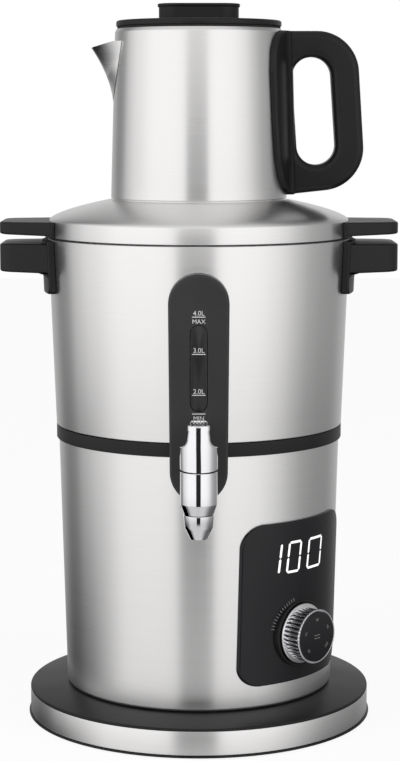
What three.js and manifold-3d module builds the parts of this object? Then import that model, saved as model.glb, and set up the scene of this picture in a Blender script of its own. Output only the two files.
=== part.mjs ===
// Electric samovar: a steel water tank on a heated base, with a drawing tap, a level gauge,
// a control panel with a push-and-turn dial, and a teapot that stands on the tank lid.
// Millimetres, +Z up. The origin is on the floor below the middle of the base.
// The front, where the tap is, looks along -Y, and the teapot handle points along +X.

import * as THREE from 'three';
import { mergeVertices } from 'three/addons/utils/BufferGeometryUtils.js';
import Module from 'manifold-3d';

const wasm = await Module();
wasm.setup();

// Shared values

const seatGap = 0.3; // clearance between pieces that touch
const cutOverrun = 4; // how far a cutting body runs past the face that it opens
const degree = Math.PI / 180;

// How many flat sides a full circle gets
const wideSides = 32;
const middleSides = 20;
const smallSides = 12;
const screwSides = 8;

// Base: a black pan with a steel trim band round it and a black plate on top

const foot = { radius: 10, stand: 1, sunk: 1.6, circleRadius: 108, count: 4 };

const pan = {
  lipRadius: 130.1,
  lipHeight: 1.3,
  floor: 3.4,
  wall: 2,
  ventCount: 6,
  ventWidth: 4,
  ventLength: 26,
  ventMiddle: 62,
};

const band = { radius: 128.8, wall: 0.9, height: 17.6 };

const plate = {
  edge: 1.6,
  edgeBevel: 0.9,
  skin: 2.2,
  rise: 3.9,
  spigotWall: 2,
  spigotHeight: 5,
  bossRadius: 5,
  bossCircleRadius: 76,
  bossCount: 3,
  postRadius: 3,
  postHeight: 12,
};

// Lower housing: a tapered steel shell that hides the heater and the electronics

const shell = {
  bottomRadius: 100.4,
  topRadius: 105.4,
  bottom: 26,
  height: 187,
  wall: 1,
  hemRadius: 2.4,
  flangeWidth: 9,
};

const middleBand = {
  radius: 107.2,
  height: 9.8,
  ledgeWidth: 4,
  spigotDepth: 5.5,
};

// Tank: one drawn steel vessel whose upper wall is the outside of the samovar

const tank = {
  bottomRadius: 107.2,
  topRadius: 112.4,
  height: 139.1,
  wall: 1,
  sumpRadius: 80,
  sumpDepth: 42,
};

const lid = {
  bandRadius: 112.2,
  bandTopRadius: 111.6,
  bandHeight: 12.2,
  rise: 27.5,
  bowRadius: 104,
  bowHeight: 19.8,
  seatRadius: 66.5,
  steamRadius: 35.2,
  collarHeight: 3.8,
  wall: 1,
  skirtRadius: 109.6,
  skirtDepth: 7.3,
};

// Side grips of the tank and the lid. They share one plan outline.

const grip = {
  reach: 34.6, // past the tank's rim
  rootHalfWidth: 42,
  tipHalfWidth: 31,
  cornerRadius: 12,
  bevel: 1.4,
};

const tankGrip = {
  topBelowRim: 3.2,
  depth: 20,
  rootDrop: 1.5,
  padThick: 3,
  padHalfWidth: 53,
  padTopBelowRim: 1,
  padDepth: 24,
  legHalfWidth: 42,
  legReach: 40,
  legCorner: 9,
};

const lidGrip = { topBelowBandTop: 0.2, depth: 9, rootDrop: 2, padThick: 2.4, padHalfWidth: 51 };

const gripScrew = { shankRadius: 2, headRadius: 4, headHeight: 2.2, length: 9, spreadShare: 0.5 };

// Level gauge: a moulded fascia with a sight tube behind a slot window

const gauge = {
  halfWidth: 21.6,
  belowShellTop: 30.1,
  topBelowRim: 17.8,
  proud: 11.2,
  bevel: 2.2,
  wall: 1.8,
  cavityHalfWidth: 13,
  cavityAboveShelf: 2.6,
  windowHalfWidth: 6,
  windowAboveShelf: 27,
  windowBelowTop: 36.7,
  windowSunk: 0.5,
  windowLip: 1.6,
};

const sightTube = { radius: 2.8, wall: 0.8, aboveShelf: 20.6, belowTop: 24.7, out: 5.06 };

const elbow = { radius: 3.9, bore: 2, reachIn: 6, cuff: 4, bendRadius: 4.6, lead: 1.6 };

// Tap: a spring-closed valve that a rocking lever lifts off its seat

const tap = {
  pastFascia: 21.54, // from the gauge's fascia to the tap's own axis
  bodyRadius: 13,
  waistRadius: 10.7,
  belowShellTop: 37.4,
  coneHeight: 10.4,
  height: 33.8,
  chamberRadius: 8.5,
  chamberFloor: 7.6,
  seatRadius: 3.4,
  socketRadius: 6.8,
  socketDepth: 4,
  shankRadius: 6.5,
  shankBore: 4,
  shankBelowShellTop: 15,
  shankPastWall: 12,
};

const tapFlange = { radius: 11.5, bevel: 1.2 };
const tapWasher = { radius: 11, thick: 2 };
const tapNut = { acrossCorners: 22, thick: 5 };

const nozzle = { drop: 15.6, tipRadius: 6.4, bellyRadius: 10.9, bellyHeight: 10, wall: 1.9 };

const bonnet = {
  depth: 6.6,
  collarRadius: 10,
  neckRadius: 4.4,
  neckHeight: 3.4,
  lugHalfWidth: 3.6,
  lugRadius: 2.6,
};

const stem = {
  radius: 1.8,
  discRadius: 6,
  disc: 1.5,
  headRadius: 3.6,
  head: 1.4,
  tip: 2.4,
  slack: 0.9,
};

const tapSeal = { radius: 6.6, thick: 2.2 };

const spring = { radius: 4.4, wire: 0.6, turns: 5, stepsPerTurn: 8, sides: 5 };

const lever = {
  radius: 13.4,
  seam: 0.7,
  rearRise: 2.4,
  shoulderHeight: 15.6,
  neckRadius: 8,
  neckHeight: 22.6,
  height: 34.6,
  padHalfWidth: 7.3,
  padHalfDepth: 12.6,
  padThick: 4,
  cavityRadius: 11.7,
  cavityHeight: 13.4,
  webHeight: 6.4,
  web: 1.5,
  webFront: 7,
  webBack: 2.2,
  stemSlotRadius: 3,
  ribGrooves: 4,
  grooveWidth: 1.3,
  grooveDepth: 0.7,
};

const pivot = { radius: 1.4, behindAxis: 6.5, aboveBody: 8.4 };

// Control panel, dial and electronics

const panel = {
  azimuth: 49.2 * degree, // from straight ahead towards +X
  halfWidth: 56.4,
  bottom: 42.9,
  height: 119.6,
  corner: 15,
  thick: 2,
  openingMargin: 12,
  postRadius: 2.6,
  postSpread: 30,
  postInset: 22,
};

const dial = {
  azimuth: 45.3 * degree,
  abovePanelFoot: 35.1, // to its axis
  proud: 15.2, // of the bezel's front
  rimRadius: 19.8,
  barrelRadius: 19.2,
  fluteDepth: 1.1,
  fluteCount: 20,
  fluteWidthShare: 0.5,
  rimThick: 1.4,
  backRadius: 21.8,
  backThick: 1.5,
  length: 14.3,
  skirtWall: 2.4,
  hubRadius: 5.6,
  capRadius: 18.3,
  capSunk: 1.6,
  capProud: 0.3,
  travel: 0.7,
};

const bezel = { radius: 24, bore: 15, proud: 0.56 };

const encoder = {
  halfWidth: 8,
  depth: 7,
  bushRadius: 4.4,
  bushPastPanel: 1,
  shaftRadius: 3,
  shaftFlatShare: 0.5,
  rotorRadius: 5.4,
  rotorThick: 3,
};

const board = { halfWidth: 35, height: 104, thick: 1.6, behindPanel: 16.1 };
const display = { halfWidth: 27, height: 26, thick: 7.5, abovePanelFoot: 93.6 };

const powerBoard = {
  length: 100,
  width: 70,
  thick: 1.6,
  x: -20,
  y: 15,
  transformer: [34, 28, 26],
  relay: [16, 20, 16],
  terminal: [10, 30, 12],
};

const heater = {
  plateRadius: 73,
  plateThick: 4,
  ringRadius: 52,
  tubeRadius: 4,
  openAngle: 36 * degree,
  pinRadius: 2.4,
  pinLength: 20,
};

const cutout = { radius: 9, height: 8, earHalfWidth: 4, earReach: 13, ear: 1 };
const sensor = { radius: 4, height: 12, flangeRadius: 7, flange: 1.4 };

const gland = { bore: 3.6, barrelRadius: 6, flangeRadius: 9, flange: 3.2, innerFlange: 2.4, height: 44 };

const screw = { shankRadius: 1.8, headRadius: 3.8, headHeight: 2, length: 13 };

// Teapot

const pot = {
  bottomRadius: 65.4,
  topRadius: 61.8,
  height: 125.4,
  shoulderDrop: 2.6,
  mouthRadius: 60.6,
  wall: 1,
  footWidth: 6,
  footHeight: 6.4,
};

const spout = {
  belowRim: 9.4,
  tipDrop: 4.4,
  height: 46,
  reach: 17.8, // past the vessel's wall at the mouth
  halfAngle: 26 * degree,
  tipRadius: 2.6,
  wall: 1,
  levels: 6,
  holeRadius: 1.9,
  holeRows: 4,
  holePitch: 6.4,
};

const potHandle = {
  topBelowRim: 1.6,
  aboveFoot: 4,
  reachTop: 56.4, // past the vessel's wall
  reachBottom: 56.4,
  round: 31,
  rise: 2.8, // how far the underside climbs from the vessel to the round
  halfThick: 11,
  bevel: 5,
  holeHalfWidth: 14.3,
  holeTopIn: 35.1, // from the reach to the middle of the hole's upper round
  holeTopDown: 33.3,
  holeBottomIn: 35.2,
  holeBottomUp: 36.1,
  padThick: 3.4,
  padHalfWidth: 36.3,
  // The saddle's outline: shares of its half width and of its height
  padShares: [
    [0.3, 0], [0.6, 0.03], [0.81, 0.1], [0.94, 0.22], [0.98, 0.4],
    [1, 0.75], [0.96, 0.88], [0.84, 0.96], [0.6, 1],
  ],
};

const potLid = {
  radius: 61,
  edge: 4.2,
  edgeBevel: 1.2,
  plugRadius: 57.6,
  plugDepth: 9,
  plugWall: 2,
  crown: 0.8,
};

const lidSeal = { thick: 1.3, width: 2.4 };

const knob = {
  halfLength: 29.4,
  halfWidth: 18,
  corner: 13,
  height: 11.2,
  flange: 2.4,
  flangeOut: 0.9,
  recess: 1.2,
  recessInset: 3.4,
};

const knobScrew = { shankRadius: 2, headRadius: 4, headHeight: 2.2, length: 10 };

// Heights and radii that follow from the values above

const panBottom = foot.stand;
const panFloorTop = panBottom + pan.floor;
const bandBottom = panBottom + pan.lipHeight + seatGap;
const bandTop = bandBottom + band.height;
const plateBottom = bandTop + seatGap;
const plateRim = plateBottom + plate.edge;
const plateSeat = shell.bottom - seatGap;
const shellTop = shell.bottom + shell.height;
const middleBottom = shellTop + seatGap;
const middleTop = middleBottom + middleBand.height;
const tankShelf = middleTop + seatGap;
const tankRim = tankShelf + tank.height;
const tankFloor = tankShelf - tank.sumpDepth + tank.wall;
const lidBottom = tankRim + seatGap;
const lidBandTop = lidBottom + lid.bandHeight;
const lidSeat = lidBottom + lid.rise;
const potBottom = lidSeat + seatGap;
const potRim = potBottom + pot.height;
const potLidBottom = potRim + lidSeal.thick + seatGap;
const potLidTop = potLidBottom + potLid.edge;
const gripTip = tank.topRadius + grip.reach;
const gaugeBottom = shellTop - gauge.belowShellTop;
const gaugeHeight = tankRim - gauge.topBelowRim - gaugeBottom;
const tapBottom = shellTop - tap.belowShellTop;
const tapTop = tapBottom + tap.height;
const shankZ = shellTop - tap.shankBelowShellTop;
const nozzleBottom = tapBottom - nozzle.drop;
const dialZ = panel.bottom + dial.abovePanelFoot;
const displayZ = panel.bottom + display.abovePanelFoot;
const spoutTop = potRim - spout.belowRim;
const handleTop = potRim - potHandle.topBelowRim;
const handleBottom = potBottom + potHandle.aboveFoot;
const pivotZ = tapTop + pivot.aboveBody;
const panelGap = seatGap;

function shellRadius(z) {
  const share = (z - shell.bottom) / shell.height;
  return shell.bottomRadius + (shell.topRadius - shell.bottomRadius) * share;
}

function tankRadius(z) {
  const share = (z - tankShelf) / tank.height;
  return tank.bottomRadius + (tank.topRadius - tank.bottomRadius) * share;
}

function potRadius(z) {
  const share = (z - potBottom) / pot.height;
  return pot.bottomRadius + (pot.topRadius - pot.bottomRadius) * share;
}

// Geometry tools

function welded(geometry) {
  const bare = geometry.clone();
  bare.deleteAttribute('normal');
  bare.deleteAttribute('uv');
  const weldDistance = seatGap / 1000;
  return mergeVertices(bare, weldDistance);
}

// Turns every face outwards if the whole surface points inwards
function outward(geometry) {
  const place = geometry.attributes.position;
  const index = geometry.index.array;
  const [a, b, c] = [new THREE.Vector3(), new THREE.Vector3(), new THREE.Vector3()];
  let volume = 0;
  for (let i = 0; i < index.length; i += 3) {
    a.fromBufferAttribute(place, index[i]);
    b.fromBufferAttribute(place, index[i + 1]);
    c.fromBufferAttribute(place, index[i + 2]);
    volume += a.dot(b.cross(c));
  }
  if (volume < 0) {
    for (let i = 0; i < index.length; i += 3) {
      [index[i + 1], index[i + 2]] = [index[i + 2], index[i + 1]];
    }
  }
  return geometry;
}

function toManifold(geometry) {
  const closed = outward(welded(geometry));
  const mesh = new wasm.Mesh({
    numProp: 3,
    vertProperties: new Float32Array(closed.attributes.position.array),
    triVerts: new Uint32Array(closed.index.array),
  });
  return new wasm.Manifold(mesh);
}

function fromManifold(manifold) {
  const mesh = manifold.getMesh();
  const geometry = new THREE.BufferGeometry();
  geometry.setAttribute('position', new THREE.BufferAttribute(new Float32Array(mesh.vertProperties), 3));
  geometry.setIndex(new THREE.BufferAttribute(new Uint32Array(mesh.triVerts), 1));
  return geometry;
}

function combine(method, first, rest) {
  let result = toManifold(first);
  for (const geometry of rest) result = result[method](toManifold(geometry));
  return fromManifold(result);
}

const join = (first, ...rest) => combine('add', first, rest);
const cut = (first, ...rest) => combine('subtract', first, rest);
const common = (first, ...rest) => combine('intersect', first, rest);

// The largest body of a cut that may leave slivers
function mainBody(geometry) {
  const bodies = toManifold(geometry).decompose();
  return fromManifold(bodies.reduce((most, body) => (body.volume() > most.volume() ? body : most)));
}

// A body of revolution about Z from [radius, height] pairs. An open profile starts and ends on
// the axis, and a ring's profile is closed by its first point.
function turned(profile, sides = wideSides) {
  const points = profile.map(([radius, height]) => new THREE.Vector2(radius, height));
  if (profile[0][0] > 0) points.push(points[0].clone());
  return new THREE.LatheGeometry(points, sides).rotateX(Math.PI / 2);
}

function disc(radius, low, high, sides = smallSides) {
  return turned([[0, low], [radius, low], [radius, high], [0, high]], sides);
}

function ring(inner, outer, low, high, sides = smallSides) {
  return turned([[inner, low], [outer, low], [outer, high], [inner, high]], sides);
}

// A shape in XY raised along Z from low to high, with an optional bevel inside its outline
function raised(shape, low, high, bevel = 0, bevelSteps = 1) {
  const options = { depth: high - low - 2 * bevel, bevelEnabled: bevel > 0 };
  if (bevel > 0) {
    options.bevelSize = bevel;
    options.bevelThickness = bevel;
    options.bevelOffset = -bevel;
    options.bevelSegments = bevelSteps;
  }
  return new THREE.ExtrudeGeometry(shape, options).translate(0, 0, low + bevel);
}

function block(lowX, highX, lowY, highY, lowZ, highZ) {
  const box = new THREE.BoxGeometry(highX - lowX, highY - lowY, highZ - lowZ);
  return box.translate((lowX + highX) / 2, (lowY + highY) / 2, (lowZ + highZ) / 2);
}

// Points along an arc from one angle to another
function arc(centreX, centreY, radius, from, to, steps = 4) {
  return Array.from({ length: steps + 1 }, (_, i) => {
    const angle = from + ((to - from) * i) / steps;
    return new THREE.Vector2(centreX + radius * Math.cos(angle), centreY + radius * Math.sin(angle));
  });
}

// A closed outline from points in order, without those that lie on the one before them
function outline(points) {
  return new THREE.Shape(points.filter((point, i) => point.distanceTo(points.at(i - 1)) > seatGap / 100));
}

// A rectangle with round corners, centred on x, from low to high in y
function roundedShape(halfWidth, low, high, corner, steps = 4) {
  const x = halfWidth - corner;
  return outline([
    ...arc(x, low + corner, corner, -Math.PI / 2, 0, steps),
    ...arc(x, high - corner, corner, 0, Math.PI / 2, steps),
    ...arc(-x, high - corner, corner, Math.PI / 2, Math.PI, steps),
    ...arc(-x, low + corner, corner, Math.PI, 1.5 * Math.PI, steps),
  ]);
}

// The outline of half a body, given from the bottom up on its +x side, and its mirror image
function mirrored(points) {
  const left = points.map((point) => new THREE.Vector2(-point.x, point.y)).reverse();
  return outline([...points, ...left]);
}

// Joins rings of equally many points into one closed skin, with a flat cap on both ends
function lofted(rings) {
  const count = rings[0].length;
  const positions = [];
  for (const points of rings) {
    for (const point of points) positions.push(...point);
  }
  const faces = [];
  for (let level = 0; level < rings.length - 1; level += 1) {
    for (let i = 0; i < count; i += 1) {
      const here = level * count + i;
      const beside = level * count + ((i + 1) % count);
      faces.push(here, beside, beside + count, here, beside + count, here + count);
    }
  }
  const last = (rings.length - 1) * count;
  for (let i = 1; i < count - 1; i += 1) {
    faces.push(0, i + 1, i);
    faces.push(last, last + i, last + i + 1);
  }
  const geometry = new THREE.BufferGeometry();
  geometry.setAttribute('position', new THREE.Float32BufferAttribute(positions, 3));
  geometry.setIndex(faces);
  return geometry;
}

function swept(curve, radius, sides, steps) {
  const corners = Array.from({ length: sides }, (_, i) => {
    const angle = (2 * Math.PI * i) / sides;
    return new THREE.Vector2(radius * Math.cos(angle), radius * Math.sin(angle));
  });
  return new THREE.ExtrudeGeometry(new THREE.Shape(corners), { extrudePath: curve, steps });
}

// Stands a body built along +Z so that its axis points outwards at an azimuth from the front
function radial(geometry, azimuth, height) {
  return geometry.rotateX(Math.PI / 2).rotateZ(azimuth).translate(0, 0, height);
}

// Places a body built about Z at even steps round the samovar's axis
function around(count, radius, startAngle, build) {
  return Array.from({ length: count }, (_, i) => {
    const angle = startAngle + (2 * Math.PI * i) / count;
    return build(i).translate(radius * Math.cos(angle), radius * Math.sin(angle), 0);
  });
}

// Materials

function material(color, roughness, metalness, extra = {}) {
  return new THREE.MeshStandardMaterial({ color, roughness, metalness, ...extra });
}

const brushedSteel = material(0xc6c4c2, 0.32, 1);
const innerSteel = material(0xb8b8b8, 0.45, 1);
const blackPlastic = material(0x232324, 0.42, 0);
const glossBlack = material(0x1b1b1f, 0.14, 0);
const rubber = material(0x1a1a1a, 0.85, 0);
const silicone = material(0xb9b4aa, 0.6, 0);
const chrome = material(0xe6e6ea, 0.06, 1);
const zincSteel = material(0x9a9a98, 0.4, 1);
const aluminium = material(0xb4b6b8, 0.45, 1);
const glass = material(0xdfe8ea, 0.05, 0, { transparent: true, opacity: 0.35 });
const smokedLens = material(0x2c2c2e, 0.08, 0, { transparent: true, opacity: 0.8 });
const boardGreen = material(0x1f5c3a, 0.5, 0);
const partWhite = material(0xe4e4de, 0.6, 0);

const samovar = new THREE.Group();

function piece(name, geometry, surface, parent = samovar) {
  const closed = fromManifold(toManifold(geometry));
  const mesh = new THREE.Mesh(closed, surface);
  mesh.name = name;
  parent.add(mesh);
  return mesh;
}

// Base

const footAngle = Math.PI / 4;
const screwAngle = Math.PI / 2;

function basePan() {
  const bandInner = band.radius - band.wall - seatGap;
  const body = turned([
    [0, panBottom],
    [pan.lipRadius, panBottom],
    [pan.lipRadius, panBottom + pan.lipHeight],
    [bandInner, panBottom + pan.lipHeight],
    [bandInner, bandTop],
    [bandInner - pan.wall, bandTop],
    [bandInner - pan.wall, panFloorTop],
    [0, panFloorTop],
  ]);
  const pockets = around(foot.count, foot.circleRadius, footAngle, () =>
    disc(foot.radius + seatGap, panBottom - cutOverrun, panBottom + foot.sunk + seatGap));
  const screwHoles = around(plate.bossCount, plate.bossCircleRadius, screwAngle, () => join(
    disc(screw.shankRadius + seatGap, panBottom - cutOverrun, panFloorTop + cutOverrun, screwSides),
    disc(screw.headRadius + seatGap, panBottom - cutOverrun, panBottom + screw.headHeight, screwSides),
  ));
  const vents = Array.from({ length: pan.ventCount }, (_, i) => block(
    pan.ventMiddle - pan.ventLength / 2, pan.ventMiddle + pan.ventLength / 2,
    -pan.ventWidth / 2, pan.ventWidth / 2,
    panBottom - cutOverrun, panFloorTop + cutOverrun,
  ).translate(-pan.ventMiddle / 2, 0, 0).rotateZ((2 * Math.PI * (i + 0.5)) / pan.ventCount));
  return cut(body, ...pockets, ...screwHoles, ...vents);
}

piece('base_pan', basePan(), blackPlastic);
piece('base_trim_band', ring(band.radius - band.wall, band.radius, bandBottom, bandTop, wideSides), brushedSteel);

around(foot.count, foot.circleRadius, footAngle, () => disc(foot.radius, 0, foot.stand + foot.sunk, smallSides))
  .forEach((geometry, i) => piece(`base_foot_${i + 1}`, geometry, rubber));

const spigotRadius = shellRadius(shell.bottom) - shell.flangeWidth - 2 * seatGap;

function baseTopPlate() {
  const innerTop = plateSeat - plate.rise;
  const skinBottom = innerTop - plate.skin;
  const spigotInner = spigotRadius - plate.spigotWall;
  const rimInner = band.radius - band.wall - pan.wall;
  const body = turned([
    [0, skinBottom],
    [spigotInner, skinBottom],
    [rimInner, plateBottom],
    [band.radius, plateBottom],
    [band.radius, plateRim - plate.edgeBevel],
    [band.radius - plate.edgeBevel, plateRim],
    [shell.bottomRadius, plateSeat],
    [spigotRadius, plateSeat],
    [spigotRadius, plateSeat + plate.spigotHeight],
    [spigotInner, plateSeat + plate.spigotHeight],
    [spigotInner, innerTop],
    [0, innerTop],
  ]);
  const bosses = around(plate.bossCount, plate.bossCircleRadius, screwAngle, () =>
    disc(plate.bossRadius, panFloorTop + seatGap, innerTop, screwSides));
  const pilots = around(plate.bossCount, plate.bossCircleRadius, screwAngle, () =>
    disc(screw.shankRadius + seatGap, 0, panBottom + screw.length + cutOverrun, screwSides));
  const postX = powerBoard.length / 2 - 2 * plate.postRadius;
  const postY = powerBoard.width / 2 - 2 * plate.postRadius;
  const posts = [[-1, -1], [1, -1], [1, 1], [-1, 1]].map(([sideX, sideY]) =>
    disc(plate.postRadius, skinBottom, innerTop + plate.postHeight, screwSides)
      .translate(powerBoard.x + sideX * postX, powerBoard.y + sideY * postY, 0));
  return cut(join(body, ...bosses, ...posts), ...pilots);
}

piece('base_top_plate', baseTopPlate(), blackPlastic);

function machineScrew(size, sides = screwSides - 2) {
  return turned([
    [0, 0],
    [size.headRadius, 0],
    [size.headRadius, size.headHeight],
    [size.shankRadius, size.headHeight],
    [size.shankRadius, size.headHeight + size.length],
    [0, size.headHeight + size.length],
  ], sides);
}

around(plate.bossCount, plate.bossCircleRadius, screwAngle, () =>
  machineScrew({ ...screw, length: screw.length - screw.headHeight }).translate(0, 0, panBottom - seatGap))
  .forEach((geometry, i) => piece(`base_screw_${i + 1}`, geometry, zincSteel));

// Lower housing

function lowerShell() {
  const outerLow = shellRadius(shell.bottom + shell.hemRadius);
  const flangeInner = shell.bottomRadius - shell.flangeWidth;
  return turned([
    [flangeInner, shell.bottom],
    [shell.bottomRadius - shell.hemRadius, shell.bottom],
    [outerLow, shell.bottom + shell.hemRadius],
    [shell.topRadius, shellTop],
    [shell.topRadius - shell.wall, shellTop],
    [outerLow - shell.wall, shell.bottom + shell.hemRadius],
    [flangeInner, shell.bottom + shell.wall],
  ]);
}

// The rounded outline of the control panel, standing on its azimuth and reaching in and out
function panelBlock(inset, near, far) {
  const shape = roundedShape(
    panel.halfWidth - inset, inset, panel.height - inset, Math.max(panel.corner - inset, panel.corner / 3));
  return radial(raised(shape, near, far), panel.azimuth, panel.bottom);
}

// A solid of the lower shell's taper, grown outwards by an amount
function shellEnvelope(grow, low = shell.bottom, high = shellTop) {
  return turned([
    [0, low],
    [shellRadius(low) + grow, low],
    [shellRadius(high) + grow, high],
    [0, high],
  ]);
}

function shankHole(radius, from, to) {
  return radial(disc(radius, from, to), 0, shankZ);
}

const shellReach = shell.topRadius + cutOverrun;

piece('lower_shell', cut(
  lowerShell(),
  panelBlock(panel.openingMargin, shell.bottomRadius / 2, shellReach),
  shankHole(tap.shankRadius + 2 * seatGap, tank.sumpRadius, shellReach),
  radial(disc(gland.barrelRadius + seatGap, shell.bottomRadius / 2, shellReach), Math.PI, gland.height),
), brushedSteel);

piece('cord_gland', (() => {
  const wallOut = shellRadius(gland.height) + seatGap;
  const wallIn = Math.sqrt(wallOut ** 2 - gland.flangeRadius ** 2) - shell.wall - 4 * seatGap;
  return radial(turned([
    [gland.bore, wallIn - gland.innerFlange],
    [gland.flangeRadius - gland.innerFlange / 2, wallIn - gland.innerFlange],
    [gland.flangeRadius - gland.innerFlange / 2, wallIn],
    [gland.barrelRadius, wallIn],
    [gland.barrelRadius, wallOut],
    [gland.flangeRadius, wallOut],
    [gland.flangeRadius - seatGap, wallOut + gland.flange / 2],
    [gland.barrelRadius, wallOut + gland.flange],
    [gland.bore, wallOut + gland.flange],
  ], smallSides), Math.PI, gland.height);
})(), rubber);

piece('middle_band', (() => {
  const spigotOut = shell.topRadius - shell.wall - 2 * seatGap;
  return turned([
    [spigotOut - middleBand.ledgeWidth, shellTop - middleBand.spigotDepth],
    [spigotOut, shellTop - middleBand.spigotDepth],
    [spigotOut, middleBottom],
    [middleBand.radius, middleBottom],
    [middleBand.radius, middleTop],
    [spigotOut - middleBand.ledgeWidth, middleTop],
  ]);
})(), blackPlastic);

// Tank

function tankBody() {
  const floor = tankFloor - tank.wall;
  const inner = tank.sumpRadius - tank.wall;
  return turned([
    [0, floor],
    [tank.sumpRadius - tank.wall, floor],
    [tank.sumpRadius, floor + tank.wall],
    [tank.sumpRadius, tankShelf],
    [tank.bottomRadius, tankShelf],
    [tank.topRadius, tankRim],
    [tank.topRadius - tank.wall, tankRim],
    [tank.bottomRadius - tank.wall, tankShelf + tank.wall],
    [inner, tankShelf + tank.wall],
    [inner, tankFloor],
    [0, tankFloor],
  ]);
}

// A solid of the tank's taper between two heights, grown outwards by an amount
function tankEnvelope(grow, low, high) {
  return turned([[0, low], [tankRadius(low) + grow, low], [tankRadius(high) + grow, high], [0, high]]);
}

// The gauge leans outwards with the housing. Its own face frame: x across, y up the slope from
// the bottom edge, z outwards from the line between the lower shell and the tank.
const gaugeFoot = shellRadius(gaugeBottom);
const gaugeTilt = Math.atan2(tankRadius(gaugeBottom + gaugeHeight) - gaugeFoot, gaugeHeight);
const gaugeLength = gaugeHeight / Math.cos(gaugeTilt);
const fasciaFront = gaugeFoot + gauge.proud + (shankZ - gaugeBottom) * Math.tan(gaugeTilt);
const tapAxis = fasciaFront + tap.pastFascia;

function onGauge(geometry) {
  return geometry.rotateX(Math.PI / 2 + gaugeTilt).translate(0, -gaugeFoot, gaugeBottom);
}

function alongGauge(z) {
  return (z - gaugeBottom) / Math.cos(gaugeTilt);
}

// The ends of the sight tube, and the ports where its elbows pass the tank wall
const tubeEnds = [
  { side: -1, end: alongGauge(tankShelf + sightTube.aboveShelf) },
  { side: 1, end: gaugeLength - sightTube.belowTop },
].map(({ side, end }) => ({ side, end, port: end + side * (elbow.bendRadius + elbow.lead) }));

const portHoles = tubeEnds.map(({ port }) =>
  onGauge(disc(elbow.radius + seatGap, -tank.bottomRadius / 4, sightTube.out).translate(0, port, 0)));

const gripTop = tankRim - tankGrip.topBelowRim;
const gripScrewZ = gripTop - tankGrip.depth * gripScrew.spreadShare;
const gripScrewSpacing = tankGrip.legHalfWidth * gripScrew.spreadShare;

// Screws along X: side is 1 on the right and -1 on the left
function sideways(geometry, side) {
  return geometry.rotateY(side * Math.PI / 2);
}

const gripScrewPlaces = [-1, 1].flatMap((side) => [-1, 1].map((end) => ({ side, y: end * gripScrewSpacing })));

function gripScrewWall(y) {
  return Math.sqrt(tankRadius(gripScrewZ) ** 2 - y ** 2) - tank.wall;
}

piece('tank', cut(
  tankBody(),
  shankHole(tap.shankRadius + seatGap, tank.sumpRadius / 2, tank.sumpRadius + cutOverrun),
  ...portHoles,
  ...gripScrewPlaces.map(({ side, y }) => sideways(
    disc(gripScrew.shankRadius + seatGap, tank.sumpRadius, tank.topRadius + cutOverrun, screwSides), side,
  ).translate(0, y, gripScrewZ)),
), brushedSteel);

// Side grips

function gripShape(inner) {
  const corner = grip.cornerRadius;
  const slope = Math.atan2(grip.rootHalfWidth - grip.tipHalfWidth, gripTip - inner);
  const [x, y] = [gripTip - corner, grip.tipHalfWidth - corner];
  return outline([
    new THREE.Vector2(inner, -grip.rootHalfWidth),
    ...arc(x, -y, corner, slope - Math.PI / 2, 0),
    ...arc(x, y, corner, 0, Math.PI / 2 - slope),
    new THREE.Vector2(inner, grip.rootHalfWidth),
  ]);
}

// A grip slab whose underside rises from the root to the tip
function gripSlab(top, depth, rootDrop) {
  const inner = tank.bottomRadius - grip.rootHalfWidth / 2;
  const slab = raised(gripShape(inner), top - depth - rootDrop, top, grip.bevel);
  const length = gripTip - inner;
  const relief = block(
    -length, length + cutOverrun, -grip.rootHalfWidth - cutOverrun, grip.rootHalfWidth + cutOverrun, -depth, 0,
  ).rotateY(-Math.atan2(rootDrop, length));
  return cut(slab, relief.translate(inner, 0, top - depth - rootDrop));
}

// The wall plate of the tank grip, seen along X: wide at the grip and narrower down the leg
function tankPadShape() {
  const padTop = tankRim - tankGrip.padTopBelowRim;
  const waist = padTop - tankGrip.padDepth;
  const legBottom = padTop - tankGrip.legReach;
  const corner = tankGrip.legCorner;
  const step = (tankGrip.padHalfWidth - tankGrip.legHalfWidth) / 2;
  return mirrored([
    ...arc(tankGrip.legHalfWidth - corner, legBottom + corner, corner, -Math.PI / 2, 0),
    ...arc(tankGrip.legHalfWidth + step, waist - step, step, Math.PI, Math.PI / 2, 2),
    ...arc(tankGrip.legHalfWidth + step, waist + step, step, -Math.PI / 2, 0, 2),
    new THREE.Vector2(tankGrip.padHalfWidth, padTop),
  ]);
}

// Stands a shape drawn in (y, z) so that it is raised along +X from near to far
function alongX(shape, near, far) {
  return raised(shape, near, far).rotateX(Math.PI / 2).rotateZ(Math.PI / 2);
}

function tankGripBody() {
  const padTop = tankRim - tankGrip.padTopBelowRim;
  const legBottom = padTop - tankGrip.legReach;
  const near = tank.bottomRadius / 2;
  const plateBody = common(
    alongX(tankPadShape(), near, gripTip),
    tankEnvelope(seatGap + tankGrip.padThick, legBottom - cutOverrun, padTop + cutOverrun),
  );
  const whole = join(gripSlab(gripTop, tankGrip.depth, tankGrip.rootDrop), plateBody);
  const holes = [-1, 1].map((end) => sideways(
    disc(gripScrew.shankRadius + seatGap, tank.bottomRadius / 2, tank.topRadius + gripScrew.length, screwSides), 1,
  ).translate(0, end * gripScrewSpacing, gripScrewZ));
  return cut(whole, tankEnvelope(seatGap, legBottom - 2 * cutOverrun, padTop + 2 * cutOverrun), ...holes);
}

const sides = [{ label: 'right', turn: 0 }, { label: 'left', turn: Math.PI }];

for (const { label, turn } of sides) {
  piece(`tank_handle_${label}`, tankGripBody().rotateZ(turn), blackPlastic);
}

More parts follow.
